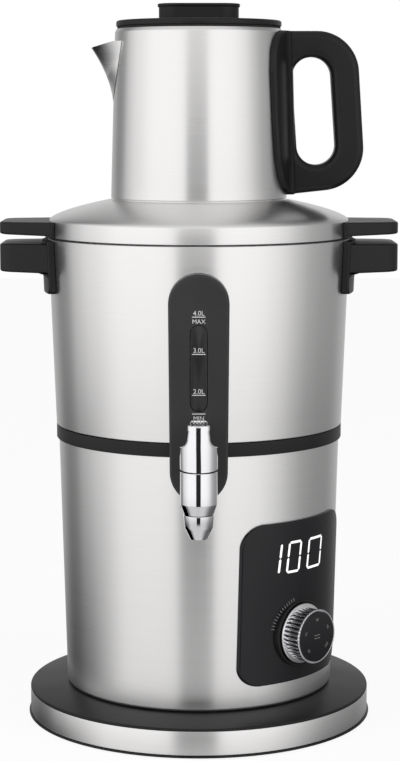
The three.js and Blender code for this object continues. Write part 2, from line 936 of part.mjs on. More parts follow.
gripScrewPlaces.forEach(({ side, y }) => {
  const start = gripScrewWall(Math.abs(y) + gripScrew.headRadius) - gripScrew.headHeight - 2 * seatGap;
  const size = { ...gripScrew, length: gripScrew.length };
  const body = sideways(machineScrew(size).translate(0, 0, start), side).translate(0, y, gripScrewZ);
  const sideLabel = side > 0 ? 'right' : 'left';
  const endLabel = y > 0 ? 'rear' : 'front';
  piece(`tank_handle_screw_${sideLabel}_${endLabel}`, body, zincSteel);
});

// Lid

function lidCurve(drop) {
  const shoulder = new THREE.Vector2(lid.bandTopRadius - drop, lidBandTop + 1.2 * lid.wall - drop);
  const bow = new THREE.Vector2(lid.bowRadius - drop, lidBottom + lid.bowHeight - drop);
  const seat = new THREE.Vector2(lid.seatRadius, lidSeat - drop);
  return new THREE.QuadraticBezierCurve(shoulder, bow, seat).getPoints(3).map((point) => [point.x, point.y]);
}

function lidBody() {
  const collarOut = lid.steamRadius + lid.wall;
  const skirtInner = lid.skirtRadius - lid.wall;
  return turned([
    [lid.bandRadius, lidBottom],
    [lid.bandTopRadius, lidBandTop],
    ...lidCurve(0),
    [collarOut, lidSeat],
    [collarOut, lidSeat + lid.collarHeight],
    [lid.steamRadius, lidSeat + lid.collarHeight],
    [lid.steamRadius, lidSeat - lid.wall],
    ...lidCurve(lid.wall).slice(1).reverse(),
    [skirtInner, lidBandTop - lid.wall],
    [skirtInner, lidBottom - lid.skirtDepth],
    [lid.skirtRadius, lidBottom - lid.skirtDepth],
    [lid.skirtRadius, lidBottom],
  ]);
}

function lidEnvelope(grow) {
  return turned([
    [0, lidBottom - cutOverrun],
    [lid.bandRadius + grow, lidBottom - cutOverrun],
    [lid.bandRadius + grow, lidBottom],
    [lid.bandTopRadius + grow, lidBandTop],
    ...lidCurve(0).map(([radius, height]) => [radius + grow, height + grow]),
    [0, lidSeat + grow],
  ]);
}

function lidGripBody() {
  const top = lidBandTop - lidGrip.topBelowBandTop;
  const padShape = roundedShape(lidGrip.padHalfWidth, lidBottom, top, lidGrip.padThick);
  const plateBody = common(alongX(padShape, tank.bottomRadius / 2, gripTip), lidEnvelope(seatGap + lidGrip.padThick));
  const whole = join(gripSlab(top, lidGrip.depth, lidGrip.rootDrop), plateBody);
  return cut(whole, lidEnvelope(seatGap));
}

piece('tank_lid', lidBody(), brushedSteel);
for (const { label, turn } of sides) {
  piece(`lid_handle_${label}`, lidGripBody().rotateZ(turn), blackPlastic);
}

// Level gauge

// Everything that the fascia lies against: lower shell, middle band and tank
function bodyEnvelope(grow) {
  return turned([
    [0, shell.bottom],
    [shell.bottomRadius + grow, shell.bottom],
    [shell.topRadius + grow, shellTop - grow],
    [middleBand.radius + grow, shellTop],
    [middleBand.radius + grow, tankShelf],
    [tank.topRadius + grow, tankRim],
    [0, tankRim],
  ]);
}

const windowLow = alongGauge(tankShelf + gauge.windowAboveShelf);
const windowHigh = gaugeLength - gauge.windowBelowTop;
const windowShape = (grow) => roundedShape(
  gauge.windowHalfWidth + grow, windowLow - grow, windowHigh + grow, gauge.windowHalfWidth + grow);

piece('gauge_panel', (() => {
  const outline = roundedShape(gauge.halfWidth, 0, gaugeLength, gauge.halfWidth);
  const body = onGauge(raised(outline, -gauge.proud, gauge.proud, gauge.bevel, 2));
  const cavityHigh = gaugeLength - (gauge.halfWidth - gauge.cavityHalfWidth);
  const cavityShape = roundedShape(
    gauge.cavityHalfWidth, alongGauge(tankShelf + gauge.cavityAboveShelf), cavityHigh, gauge.cavityHalfWidth);
  const cavity = onGauge(raised(cavityShape, -gauge.proud - cutOverrun, gauge.proud - gauge.wall));
  const slot = onGauge(raised(windowShape(seatGap), 0, gauge.proud + cutOverrun));
  const hole = shankHole(tap.shankRadius + seatGap, shell.topRadius / 2, tapAxis);
  return cut(body, bodyEnvelope(seatGap), cavity, slot, hole);
})(), blackPlastic);

const windowFront = gauge.proud - gauge.windowSunk;
const windowBack = gauge.proud - gauge.wall - seatGap;

piece('gauge_window', (() => {
  const lens = raised(windowShape(0), windowBack - gauge.windowLip / 2, windowFront);
  const lip = raised(windowShape(gauge.windowLip), windowBack - gauge.windowLip / 2, windowBack);
  return onGauge(join(lens, lip));
})(), smokedLens);

// A body built about Z, laid along the gauge's slope at the sight tube's distance from the tank
function alongTube(geometry) {
  return onGauge(geometry.rotateX(-Math.PI / 2).translate(0, 0, sightTube.out));
}

const [lowerEnd, upperEnd] = tubeEnds;

piece('gauge_tube', alongTube(ring(
  sightTube.radius - sightTube.wall, sightTube.radius, lowerEnd.end, upperEnd.end,
)), glass);

// Silicone elbow from inside the tank wall to a cuff round one end of the sight tube
function elbowBody({ side, end, port }) {
  const route = (overrun) => {
    const at = (y, z) => new THREE.Vector3(0, y, z);
    const path = new THREE.CurvePath();
    const start = at(port, -elbow.reachIn - overrun);
    const bendStart = at(port, sightTube.out - elbow.bendRadius);
    const bendEnd = at(port - side * elbow.bendRadius, sightTube.out);
    const finish = at(end - side * (elbow.cuff + overrun), sightTube.out);
    path.add(new THREE.LineCurve3(start, bendStart));
    path.add(new THREE.QuadraticBezierCurve3(bendStart, at(port, sightTube.out), bendEnd));
    path.add(new THREE.LineCurve3(bendEnd, finish));
    return path;
  };
  const steps = 6;
  const outer = onGauge(swept(route(0), elbow.radius, screwSides, steps));
  const bore = onGauge(swept(route(seatGap), elbow.bore, screwSides - 2, steps));
  const cuffRoom = [end + side * seatGap, end - side * (elbow.cuff + cutOverrun)].sort((a, b) => a - b);
  return cut(outer, bore, alongTube(disc(sightTube.radius + seatGap, ...cuffRoom)));
}

piece('gauge_elbow_lower', elbowBody(lowerEnd), silicone);
piece('gauge_elbow_upper', elbowBody(upperEnd), silicone);

// Tap, built about its own upright axis

const tapGroup = new THREE.Group();
tapGroup.position.set(0, -tapAxis, 0);
samovar.add(tapGroup);

const chamberBottom = tapBottom + tap.chamberFloor;
const bonnetBottom = tapTop - bonnet.depth;
const shankEnd = tank.sumpRadius - tank.wall - tap.shankPastWall;

// A body built along +Z, laid so that it points from the tap's axis back to the tank
function towardsTank(geometry) {
  return geometry.rotateX(-Math.PI / 2).translate(0, 0, shankZ);
}

piece('tap_body', (() => {
  const outside = turned([
    [0, tapBottom],
    [tap.waistRadius, tapBottom],
    [tap.bodyRadius - seatGap, tapBottom + tap.coneHeight],
    [tap.bodyRadius, tapTop - seatGap],
    [tap.bodyRadius - seatGap, tapTop],
    [0, tapTop],
  ], middleSides);
  const shank = towardsTank(disc(tap.shankRadius, 0, tapAxis - shankEnd));
  const passage = towardsTank(disc(tap.shankBore, 0, tapAxis - shankEnd + cutOverrun));
  const inside = turned([
    [0, tapBottom - cutOverrun],
    [tap.socketRadius, tapBottom - cutOverrun],
    [tap.socketRadius, tapBottom + tap.socketDepth],
    [tap.seatRadius, tapBottom + tap.socketDepth],
    [tap.seatRadius, chamberBottom],
    [tap.chamberRadius, chamberBottom],
    [tap.chamberRadius, bonnetBottom - seatGap],
    [bonnet.collarRadius + seatGap, bonnetBottom - seatGap],
    [bonnet.collarRadius + seatGap, tapTop + cutOverrun],
    [0, tapTop + cutOverrun],
  ], smallSides);
  return cut(join(outside, shank), inside, passage);
})(), chrome, tapGroup);

piece('tap_nozzle', (() => {
  const spigot = tap.socketRadius - seatGap;
  const bore = spigot - nozzle.wall;
  const top = tapBottom - seatGap;
  return turned([
    [bore, nozzleBottom],
    [nozzle.tipRadius, nozzleBottom],
    [nozzle.bellyRadius, nozzleBottom + nozzle.bellyHeight],
    [tap.waistRadius, top],
    [spigot, top],
    [spigot, tapBottom + tap.socketDepth - seatGap],
    [bore, tapBottom + tap.socketDepth - seatGap],
  ], middleSides);
})(), chrome, tapGroup);

piece('tap_flange', (() => {
  const near = tap.bodyRadius + seatGap;
  const far = tapAxis - fasciaFront - seatGap - tapFlange.radius * Math.tan(gaugeTilt);
  return towardsTank(turned([
    [tap.shankRadius + seatGap, near],
    [tapFlange.radius - tapFlange.bevel, near],
    [tapFlange.radius, near + tapFlange.bevel],
    [tapFlange.radius, far],
    [tap.shankRadius + seatGap, far],
  ], middleSides));
})(), chrome, tapGroup);

const sumpInner = Math.sqrt((tank.sumpRadius - tank.wall) ** 2 - tapWasher.radius ** 2);
const washerNear = tapAxis - sumpInner + seatGap;
const nutNear = washerNear + tapWasher.thick + seatGap;

piece('tap_washer', towardsTank(ring(
  tap.shankRadius + seatGap, tapWasher.radius, washerNear, washerNear + tapWasher.thick,
)), silicone, tapGroup);

piece('tap_nut', towardsTank(cut(
  disc(tapNut.acrossCorners / 2, nutNear, nutNear + tapNut.thick, 6),
  disc(tap.shankRadius + seatGap, nutNear - cutOverrun, nutNear + tapNut.thick + cutOverrun),
)), zincSteel, tapGroup);

// A rod along X through the lever's pivot
function pivotRod(radius, halfLength) {
  return disc(radius, -halfLength, halfLength, screwSides)
    .rotateY(Math.PI / 2).translate(0, pivot.behindAxis, pivotZ);
}

piece('tap_bonnet', (() => {
  const plug = turned([
    [stem.radius + seatGap, bonnetBottom],
    [bonnet.collarRadius, bonnetBottom],
    [bonnet.collarRadius, tapTop],
    [bonnet.neckRadius, tapTop],
    [bonnet.neckRadius, tapTop + bonnet.neckHeight],
    [stem.radius + seatGap, tapTop + bonnet.neckHeight],
  ], smallSides);
  const lug = join(
    pivotRod(bonnet.lugRadius, bonnet.lugHalfWidth),
    block(
      -bonnet.lugHalfWidth, bonnet.lugHalfWidth,
      pivot.behindAxis - bonnet.lugRadius, pivot.behindAxis + bonnet.lugRadius,
      tapTop - bonnet.neckHeight, pivotZ),
  );
  const stemBore = disc(stem.radius + seatGap, bonnetBottom, pivotZ + bonnet.lugRadius);
  return cut(join(plug, lug), pivotRod(pivot.radius + seatGap, lever.radius), stemBore);
})(), zincSteel, tapGroup);

piece('tap_pivot_pin', pivotRod(
  pivot.radius, Math.sqrt(lever.radius ** 2 - (pivot.behindAxis + pivot.radius) ** 2) - seatGap,
), zincSteel, tapGroup);

const sealBottom = chamberBottom + seatGap;
const stemDisc = sealBottom + tapSeal.thick + seatGap;
const webTop = tapTop + lever.webHeight + lever.web;
const stemHead = webTop + stem.slack;

piece('tap_seal', ring(stem.radius + seatGap, tapSeal.radius, sealBottom, sealBottom + tapSeal.thick), silicone, tapGroup);

piece('tap_stem', turned([
  [0, stemDisc - stem.tip],
  [stem.radius, stemDisc - stem.tip],
  [stem.radius, stemDisc],
  [stem.discRadius, stemDisc],
  [stem.discRadius, stemDisc + stem.disc],
  [stem.radius, stemDisc + stem.disc],
  [stem.radius, stemHead],
  [stem.headRadius, stemHead],
  [stem.headRadius, stemHead + stem.head],
  [0, stemHead + stem.head],
], smallSides), zincSteel, tapGroup);

class Helix extends THREE.Curve {
  constructor(radius, turns, low, high) {
    super();
    Object.assign(this, { radius, turns, low, high });
  }

  getPoint(share, target = new THREE.Vector3()) {
    const angle = 2 * Math.PI * this.turns * share;
    const height = this.low + (this.high - this.low) * share;
    return target.set(this.radius * Math.cos(angle), this.radius * Math.sin(angle), height);
  }
}

const springLow = stemDisc + stem.disc + spring.wire + seatGap;
const springHigh = bonnetBottom - spring.wire - seatGap;

piece('tap_spring', swept(
  new Helix(spring.radius, spring.turns, springLow, springHigh),
  spring.wire, spring.sides, spring.turns * spring.stepsPerTurn,
), zincSteel, tapGroup);

// A level ring of points between a circle and a rounded paddle outline
function paddleRing(halfWidth, halfDepth, z) {
  const pointCount = 16;
  const squareness = 0.62;
  return Array.from({ length: pointCount }, (_, i) => {
    const angle = (2 * Math.PI * i) / pointCount;
    const x = Math.sign(Math.cos(angle)) * Math.abs(Math.cos(angle)) ** squareness;
    const y = Math.sign(Math.sin(angle)) * Math.abs(Math.sin(angle)) ** squareness;
    return [halfWidth * x, halfDepth * y, z];
  });
}

piece('tap_lever', (() => {
  const base = tapTop + lever.seam;
  const shoulder = tapTop + lever.shoulderHeight;
  const neck = tapTop + lever.neckHeight;
  const top = tapTop + lever.height;
  const flare = new THREE.QuadraticBezierCurve(
    new THREE.Vector2(lever.radius - seatGap, shoulder),
    new THREE.Vector2(lever.neckRadius, shoulder + seatGap),
    new THREE.Vector2(lever.neckRadius, neck),
  ).getPoints(4).map((point) => [point.x, point.y]);
  const skirt = turned([
    [0, base],
    [lever.radius - seatGap, base],
    [lever.radius, shoulder - seatGap],
    ...flare,
    [0, neck],
  ], middleSides);
  const paddle = lofted([
    paddleRing(lever.neckRadius * 0.8, lever.neckRadius * 0.8, shoulder + seatGap),
    paddleRing(lever.neckRadius * 0.92, lever.neckRadius, neck),
    paddleRing(lever.padHalfWidth, lever.padHalfDepth, top - lever.padThick),
    paddleRing(lever.padHalfWidth, lever.padHalfDepth, top - lever.grooveDepth),
    paddleRing(lever.padHalfWidth - lever.grooveDepth, lever.padHalfDepth - lever.grooveDepth, top),
  ]);
  const cavity = disc(lever.cavityRadius, base - cutOverrun, tapTop + lever.cavityHeight, middleSides);
  const web = cut(
    block(-lever.radius, lever.radius, -lever.webFront, lever.webBack, tapTop + lever.webHeight, webTop),
    disc(lever.stemSlotRadius, tapTop, webTop + cutOverrun),
  );
  const slant = Math.atan2(lever.rearRise, 2 * lever.radius);
  const underside = block(
    -2 * lever.radius, 2 * lever.radius, -2 * lever.radius, 4 * lever.radius, -lever.radius, 0,
  ).rotateX(slant).translate(0, -lever.radius, base);
  const pitch = (2 * lever.padHalfWidth) / (lever.ribGrooves + 1);
  const grooves = Array.from({ length: lever.ribGrooves }, (_, i) => {
    const x = -lever.padHalfWidth + (i + 1) * pitch;
    return block(
      x - lever.grooveWidth / 2, x + lever.grooveWidth / 2,
      -lever.padHalfDepth + lever.padThick / 2, lever.padHalfDepth - lever.padThick / 2,
      top - lever.grooveDepth, top + cutOverrun);
  });
  return cut(
    join(skirt, paddle), cut(cavity, web), underside, ...grooves,
    pivotRod(pivot.radius + seatGap, 2 * lever.radius));
})(), chrome, tapGroup);

// Control panel and dial

// How far the panel's face, the bezel's front, the dial's front and the board lie from the axis
const panelFace = shellRadius(dialZ) + panelGap + panel.thick;
const bezelWall = Math.max(shellRadius(dialZ - bezel.radius), shellRadius(dialZ + bezel.radius));
const bezelFace = bezelWall + panelGap + panel.thick + bezel.proud;
const dialFace = bezelFace + dial.proud;
const boardOut = panelFace - board.behindPanel;

piece('control_panel', (() => {
  const low = panel.bottom - cutOverrun;
  const high = panel.bottom + panel.height + cutOverrun;
  const skin = cut(
    common(panelBlock(0, shell.bottomRadius / 2, shellReach), shellEnvelope(panelGap + panel.thick, low, high)),
    shellEnvelope(panelGap, low - cutOverrun, high + cutOverrun),
  );
  const postLows = [panel.postInset, panel.height - panel.postInset];
  const posts = postLows.flatMap((up) => [-1, 1].map((side) => {
    const across = side * panel.postSpread;
    const wall = Math.sqrt(shellRadius(panel.bottom + up) ** 2 - across ** 2);
    const post = disc(
      panel.postRadius, boardOut + board.thick + seatGap, wall + panel.thick / 2, screwSides);
    return radial(post.translate(across, up, 0), dial.azimuth, panel.bottom);
  }));
  const hole = radial(
    disc(encoder.bushRadius + seatGap, shell.bottomRadius / 2, shellReach), dial.azimuth, dialZ);
  return cut(join(skin, ...posts), hole);
})(), glossBlack);

function onDial(geometry) {
  return radial(geometry, dial.azimuth, dialZ);
}

const dialBack = dialFace - dial.length;
const encoderBack = boardOut + board.thick + seatGap;

piece('dial_bezel', cut(
  onDial(ring(bezel.bore, bezel.radius, shell.bottomRadius / 2, bezelFace, middleSides)),
  shellEnvelope(panelGap + panel.thick + seatGap, shell.bottom, shellTop),
), blackPlastic);

piece('control_board', onDial(cut(
  block(-board.halfWidth, board.halfWidth, panel.bottom - dialZ, panel.bottom - dialZ + board.height,
    boardOut, boardOut + board.thick),
  block(-encoder.shaftRadius, encoder.shaftRadius, -encoder.shaftRadius, encoder.shaftRadius,
    boardOut - cutOverrun, boardOut + board.thick + cutOverrun),
).translate(0, (panel.height - board.height) / 2, 0)), boardGreen);

piece('display_module', onDial(block(
  -display.halfWidth, display.halfWidth,
  displayZ - dialZ - display.height / 2, displayZ - dialZ + display.height / 2,
  encoderBack, encoderBack + display.thick)), partWhite);

const rotorLow = encoderBack + (encoder.depth - encoder.rotorThick) / 2;
const bushTop = panelFace + encoder.bushPastPanel;

piece('encoder_body', onDial((() => {
  const can = block(
    -encoder.halfWidth, encoder.halfWidth, -encoder.halfWidth, encoder.halfWidth,
    encoderBack, encoderBack + encoder.depth);
  const bush = disc(encoder.bushRadius, encoderBack + encoder.depth / 2, bushTop);
  const rotorRoom = disc(
    encoder.rotorRadius + seatGap, rotorLow - seatGap, rotorLow + encoder.rotorThick + seatGap);
  const shaftRoom = disc(encoder.shaftRadius + seatGap, encoderBack - cutOverrun, bushTop + cutOverrun);
  return cut(join(can, bush), rotorRoom, shaftRoom);
})()), zincSteel);

// The round shaft with one flat, which turns the rotor and slides through it
function flatShaft(radius, low, high) {
  const reach = encoder.shaftRadius * (1 - encoder.shaftFlatShare);
  const flatAt = reach + (radius - encoder.shaftRadius);
  const wide = 2 * radius;
  return cut(disc(radius, low, high), block(-wide, wide, flatAt, wide, low - cutOverrun, high + cutOverrun));
}

piece('encoder_rotor', onDial(cut(
  disc(encoder.rotorRadius, rotorLow, rotorLow + encoder.rotorThick),
  flatShaft(encoder.shaftRadius + seatGap, rotorLow - cutOverrun, rotorLow + encoder.rotorThick + cutOverrun),
)), partWhite);

const shaftLow = rotorLow - seatGap;
const shaftHigh = dialFace - dial.capSunk - dial.skirtWall;

piece('encoder_shaft', onDial(flatShaft(encoder.shaftRadius, shaftLow, shaftHigh)), zincSteel);

// The knurled outline: ribs and slots at even steps round the barrel
function fluteShape() {
  const step = (2 * Math.PI) / dial.fluteCount;
  const rib = step * dial.fluteWidthShare;
  return outline(Array.from({ length: dial.fluteCount }, (_, i) => [
    ...arc(0, 0, dial.barrelRadius, i * step, i * step + rib, 1),
    ...arc(0, 0, dial.barrelRadius - dial.fluteDepth, i * step + rib, (i + 1) * step, 1),
  ]).flat());
}

piece('dial_knob', onDial((() => {
  const rimLow = dialFace - dial.rimThick;
  const capFloor = dialFace - dial.capSunk;
  const web = capFloor - dial.skirtWall;
  const barrel = raised(fluteShape(), dialBack + dial.backThick / 2, rimLow + seatGap);
  const back = disc(dial.backRadius, dialBack, dialBack + dial.backThick, middleSides);
  const rim = disc(dial.rimRadius, rimLow, dialFace, middleSides);
  const skirtInner = dial.barrelRadius - dial.fluteDepth - dial.skirtWall;
  const hollow = ring(dial.hubRadius, skirtInner, dialBack - cutOverrun, web);
  const capSeat = disc(dial.capRadius + seatGap, capFloor, dialFace + cutOverrun, middleSides);
  const shaftBore = flatShaft(encoder.shaftRadius + seatGap, dialBack - cutOverrun, shaftHigh + seatGap);
  const bushRoom = disc(
    encoder.bushRadius + 2 * seatGap, dialBack - cutOverrun, bushTop + dial.travel + 2 * seatGap);
  return cut(join(barrel, back, rim), hollow, capSeat, shaftBore, bushRoom);
})()), chrome);

piece('dial_cap', onDial(disc(
  dial.capRadius, dialFace - dial.capSunk + seatGap, dialFace + dial.capProud, middleSides)), glossBlack);

// Power electronics and heater

const boardLow = plateSeat - plate.rise + plate.postHeight + seatGap;

piece('power_board', (() => {
  const top = boardLow + powerBoard.thick;
  const [halfX, halfY] = [powerBoard.length / 2, powerBoard.width / 2];
  const part = ([length, width, height], shareX, shareY) => block(
    -length / 2, length / 2, -width / 2, width / 2, top - powerBoard.thick / 2, top + height,
  ).translate(shareX * halfX, shareY * halfY, 0);
  const layoutShares = [
    [powerBoard.transformer, -0.45, 0.3],
    [powerBoard.relay, 0.15, 0.4],
    [powerBoard.relay, 0.6, 0.4],
    [powerBoard.terminal, 0.7, -0.45],
  ];
  const sheet = block(-halfX, halfX, -halfY, halfY, boardLow, top);
  return join(sheet, ...layoutShares.map((row) => part(...row))).translate(powerBoard.x, powerBoard.y, 0);
})(), boardGreen);

const plateTop = tankFloor - tank.wall - seatGap;
const heaterPlateLow = plateTop - heater.plateThick;

piece('heater_plate', disc(heater.plateRadius, heaterPlateLow, plateTop, middleSides), aluminium);

piece('heater_ring', (() => {
  const z = heaterPlateLow - heater.tubeRadius - seatGap;
  const half = heater.openAngle / 2;
  const arcPoints = 22;
  const points = Array.from({ length: arcPoints }, (_, i) => {
    const angle = half + ((2 * Math.PI - heater.openAngle) * i) / (arcPoints - 1);
    return new THREE.Vector3(heater.ringRadius * Math.cos(angle), heater.ringRadius * Math.sin(angle), z);
  });
  const tube = swept(new THREE.CatmullRomCurve3(points), heater.tubeRadius, smallSides / 2, arcPoints - 1);
  const pins = [half + heater.openAngle / 8, -half - heater.openAngle / 8].map((angle) =>
    disc(heater.pinRadius, z - heater.pinLength, z, screwSides)
      .translate(heater.ringRadius * Math.cos(angle), heater.ringRadius * Math.sin(angle), 0));
  return join(tube, ...pins);
})(), innerSteel);

piece('thermal_cutout', join(
  disc(cutout.radius, heaterPlateLow - seatGap - cutout.height, heaterPlateLow - seatGap),
  block(-cutout.earReach, cutout.earReach, -cutout.earHalfWidth, cutout.earHalfWidth,
    heaterPlateLow - seatGap - cutout.ear, heaterPlateLow - seatGap),
), partWhite);

piece('temperature_sensor', turned([
  [0, heaterPlateLow - seatGap - sensor.height],
  [sensor.radius, heaterPlateLow - seatGap - sensor.height],
  [sensor.radius, heaterPlateLow - seatGap - sensor.flange],
  [sensor.flangeRadius, heaterPlateLow - seatGap - sensor.flange],
  [sensor.flangeRadius, heaterPlateLow - seatGap],
  [0, heaterPlateLow - seatGap],
], screwSides).translate(0, heater.ringRadius / 2, 0), zincSteel);

// Teapot

function potVessel() {
  const shoulder = potRim - pot.shoulderDrop;
  const footInner = pot.bottomRadius - pot.footWidth;
  const baseLow = potBottom + pot.footHeight;
  const innerLow = potRadius(baseLow) - pot.wall;
  return turned([
    [0, baseLow],
    [footInner, baseLow],
    [footInner + pot.wall, potBottom],
    [pot.bottomRadius - pot.wall, potBottom],
    [pot.bottomRadius, potBottom + pot.wall],
    [potRadius(shoulder), shoulder],
    [pot.mouthRadius, potRim],
    [pot.mouthRadius - pot.wall, potRim],
    [innerLow, baseLow + pot.wall],
    [0, baseLow + pot.wall],
  ]);
}

const spoutLow = spoutTop - spout.height;

// Strainer holes through the vessel's wall behind the spout, in a triangle that follows it
function strainerHoles() {
  const holes = [];
  for (let row = 0; row < spout.holeRows; row += 1) {
    const z = spoutTop - spout.holePitch * (row + 1.4);
    const count = spout.holeRows - row;
    for (let i = 0; i < count; i += 1) {
      const across = (i - (count - 1) / 2) * spout.holePitch;
      const azimuth = -Math.PI / 2 + across / potRadius(z);
      holes.push(radial(disc(spout.holeRadius, pot.bottomRadius / 2, pot.bottomRadius + cutOverrun, 6), azimuth, z));
    }
  }
  return holes;
}

piece('teapot_vessel', cut(potVessel(), ...strainerHoles()), brushedSteel);

// One level of the beak: a V in plan that runs from the vessel's wall out to a round nose.
// The level's share is 0 at the foot of the beak and 1 at its mouth.
function beakRing(share, inset, z) {
  const wall = potRadius(z);
  const half = spout.halfAngle * Math.sqrt(share);
  const tip = wall + spout.reach * share * share - inset;
  const root = wall * Math.cos(half);
  const halfWidth = Math.max(wall * Math.sin(half) - inset, inset / 4);
  const nose = Math.min(spout.tipRadius, halfWidth / 2);
  const inner = wall / 2;
  const points = [[-inner, -halfWidth], [-root, -halfWidth]];
  const noseSteps = 4;
  for (let i = 0; i <= noseSteps; i += 1) {
    const angle = -Math.PI / 2 + (Math.PI * i) / noseSteps;
    points.push([-(tip - nose) - nose * Math.cos(angle), nose * Math.sin(angle)]);
  }
  points.push([-root, halfWidth], [-inner, halfWidth]);
  return points.map(([x, y]) => [x, y, z]);
}

function beakBody(inset) {
  const rings = Array.from({ length: spout.levels + 1 }, (_, i) => {
    const share = Math.max(i / spout.levels, 1 / (4 * spout.levels));
    return beakRing(share, inset, spoutLow + spout.height * share);
  });
  if (inset > 0) {
    const over = rings[rings.length - 1].map(([x, y, z]) => [x, y, z + cutOverrun]);
    rings.push(over);
  }
  return lofted(rings);
}

piece('teapot_spout', (() => {
  const slope = Math.atan2(spout.tipDrop, spout.reach);
  const wide = pot.bottomRadius;
  const top = block(-2 * wide, wide, -wide, wide, 0, wide)
    .translate(0, 0, 0).rotateY(-slope).translate(-potRadius(spoutTop), 0, spoutTop);
  const vessel = turned([
    [0, potBottom], [pot.bottomRadius + seatGap, potBottom], [potRadius(potRim) + seatGap, potRim], [0, potRim],
  ]);
  return mainBody(cut(beakBody(0), beakBody(spout.wall), vessel, top));
})(), brushedSteel);

function potHandleShape() {
  const inner = pot.topRadius / 2;
  const { round, rise, holeHalfWidth } = potHandle;
  const tipTop = pot.topRadius + potHandle.reachTop;
  const tipBottom = pot.bottomRadius + potHandle.reachBottom;
  const lowX = tipBottom - round;
  const slope = rise / (lowX - pot.bottomRadius);
  const shape = outline([
    new THREE.Vector2(inner, handleBottom - slope * (pot.bottomRadius - inner)),
    ...arc(lowX, handleBottom + rise + round, round, -Math.PI / 2, 0, 6),
    ...arc(tipTop - round, handleTop - round, round, 0, Math.PI / 2, 6),
    new THREE.Vector2(inner, handleTop),
  ]);
  const upper = [tipTop - potHandle.holeTopIn, handleTop - potHandle.holeTopDown];
  const lower = [tipBottom - potHandle.holeBottomIn, handleBottom + potHandle.holeBottomUp];
  const lean = Math.atan2(lower[0] - upper[0], upper[1] - lower[1]);
  shape.holes.push(outline([
    ...arc(...upper, holeHalfWidth, lean, Math.PI + lean, 8),
    ...arc(...lower, holeHalfWidth, Math.PI + lean, 2 * Math.PI + lean, 8),
  ]));
  return shape;
}

// The saddle that carries the handle on the vessel, seen along X
function potPadShape() {
  return mirrored(potHandle.padShares.map(([across, up]) => new THREE.Vector2(
    potHandle.padHalfWidth * across, handleBottom + (handleTop - handleBottom) * up)));
}

function potEnvelope(grow) {
  return turned([
    [0, potBottom],
    [pot.bottomRadius + grow, potBottom],
    [pot.topRadius + grow, potRim],
    [0, potRim],
  ]);
}

piece('teapot_handle', (() => {
  const loop = raised(potHandleShape(), -potHandle.halfThick, potHandle.halfThick, potHandle.bevel, 2)
    .rotateX(Math.PI / 2);
  const pad = common(
    alongX(potPadShape(), pot.topRadius / 3, pot.bottomRadius * 2),
    potEnvelope(seatGap + potHandle.padThick),
  );
  return cut(join(loop, pad), potEnvelope(seatGap));
})(), blackPlastic);

// Teapot lid

piece('teapot_lid', (() => {
  const plugInner = potLid.plugRadius - potLid.plugWall;
  const body = turned([
    [0, potLidBottom],
    [plugInner, potLidBottom],
    [plugInner, potLidBottom - potLid.plugDepth],
    [potLid.plugRadius, potLidBottom - potLid.plugDepth],
    [potLid.plugRadius, potLidBottom],
    [potLid.radius, potLidBottom],
    [potLid.radius, potLidTop - potLid.edgeBevel],
    [potLid.radius - potLid.edgeBevel, potLidTop],
    [knob.halfLength + potLid.edge, potLidTop + potLid.crown],
    [0, potLidTop + potLid.crown],
  ]);
  const hole = disc(knobScrew.shankRadius + seatGap, potLidBottom - cutOverrun, potLidTop + cutOverrun, screwSides);
  return cut(body, hole);
})(), blackPlastic);

piece('teapot_lid_seal', ring(
  potLid.plugRadius + seatGap, potLid.plugRadius + seatGap + lidSeal.width,
  potRim + seatGap, potRim + lidSeal.thick, wideSides,
), rubber);

const knobBottom = potLidTop + potLid.crown + seatGap;
const knobTop = knobBottom + knob.height;

piece('lid_knob', (() => {
  const plan = (grow) => roundedShape(
    knob.halfLength + grow, -knob.halfWidth - grow, knob.halfWidth + grow, knob.corner + grow);
  const column = raised(plan(0), knobBottom, knobTop - knob.flange / 2);
  const flange = raised(plan(knob.flangeOut), knobTop - knob.flange, knobTop, knob.flangeOut);
  const dish = raised(plan(-knob.recessInset), knobTop - knob.recess, knobTop + cutOverrun);
  const bore = disc(
    knobScrew.shankRadius + seatGap, knobBottom - cutOverrun, potLidBottom + knobScrew.length + cutOverrun, screwSides);
  return cut(join(column, flange), dish, bore);
})(), blackPlastic);

piece('lid_knob_screw', machineScrew({
  ...knobScrew, length: knobScrew.length,
}).translate(0, 0, potLidBottom - knobScrew.headHeight - seatGap), zincSteel);

export default samovar;
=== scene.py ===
# %% [markdown]
# # An electric samovar in Blender
#
# A steel water tank stands on a heated base. It has a drawing tap and a level gauge at the
# front, a control panel with a push-and-turn dial at the right, and a teapot on its lid.
#
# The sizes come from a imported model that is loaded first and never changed. Every visible
# piece is then made again in finer form, in the same place, and takes over from the coarse
# one. The hidden pieces stay as they are and only get a better finish.

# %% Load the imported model
import math

import bmesh
import bpy
from mathutils import Matrix, Vector


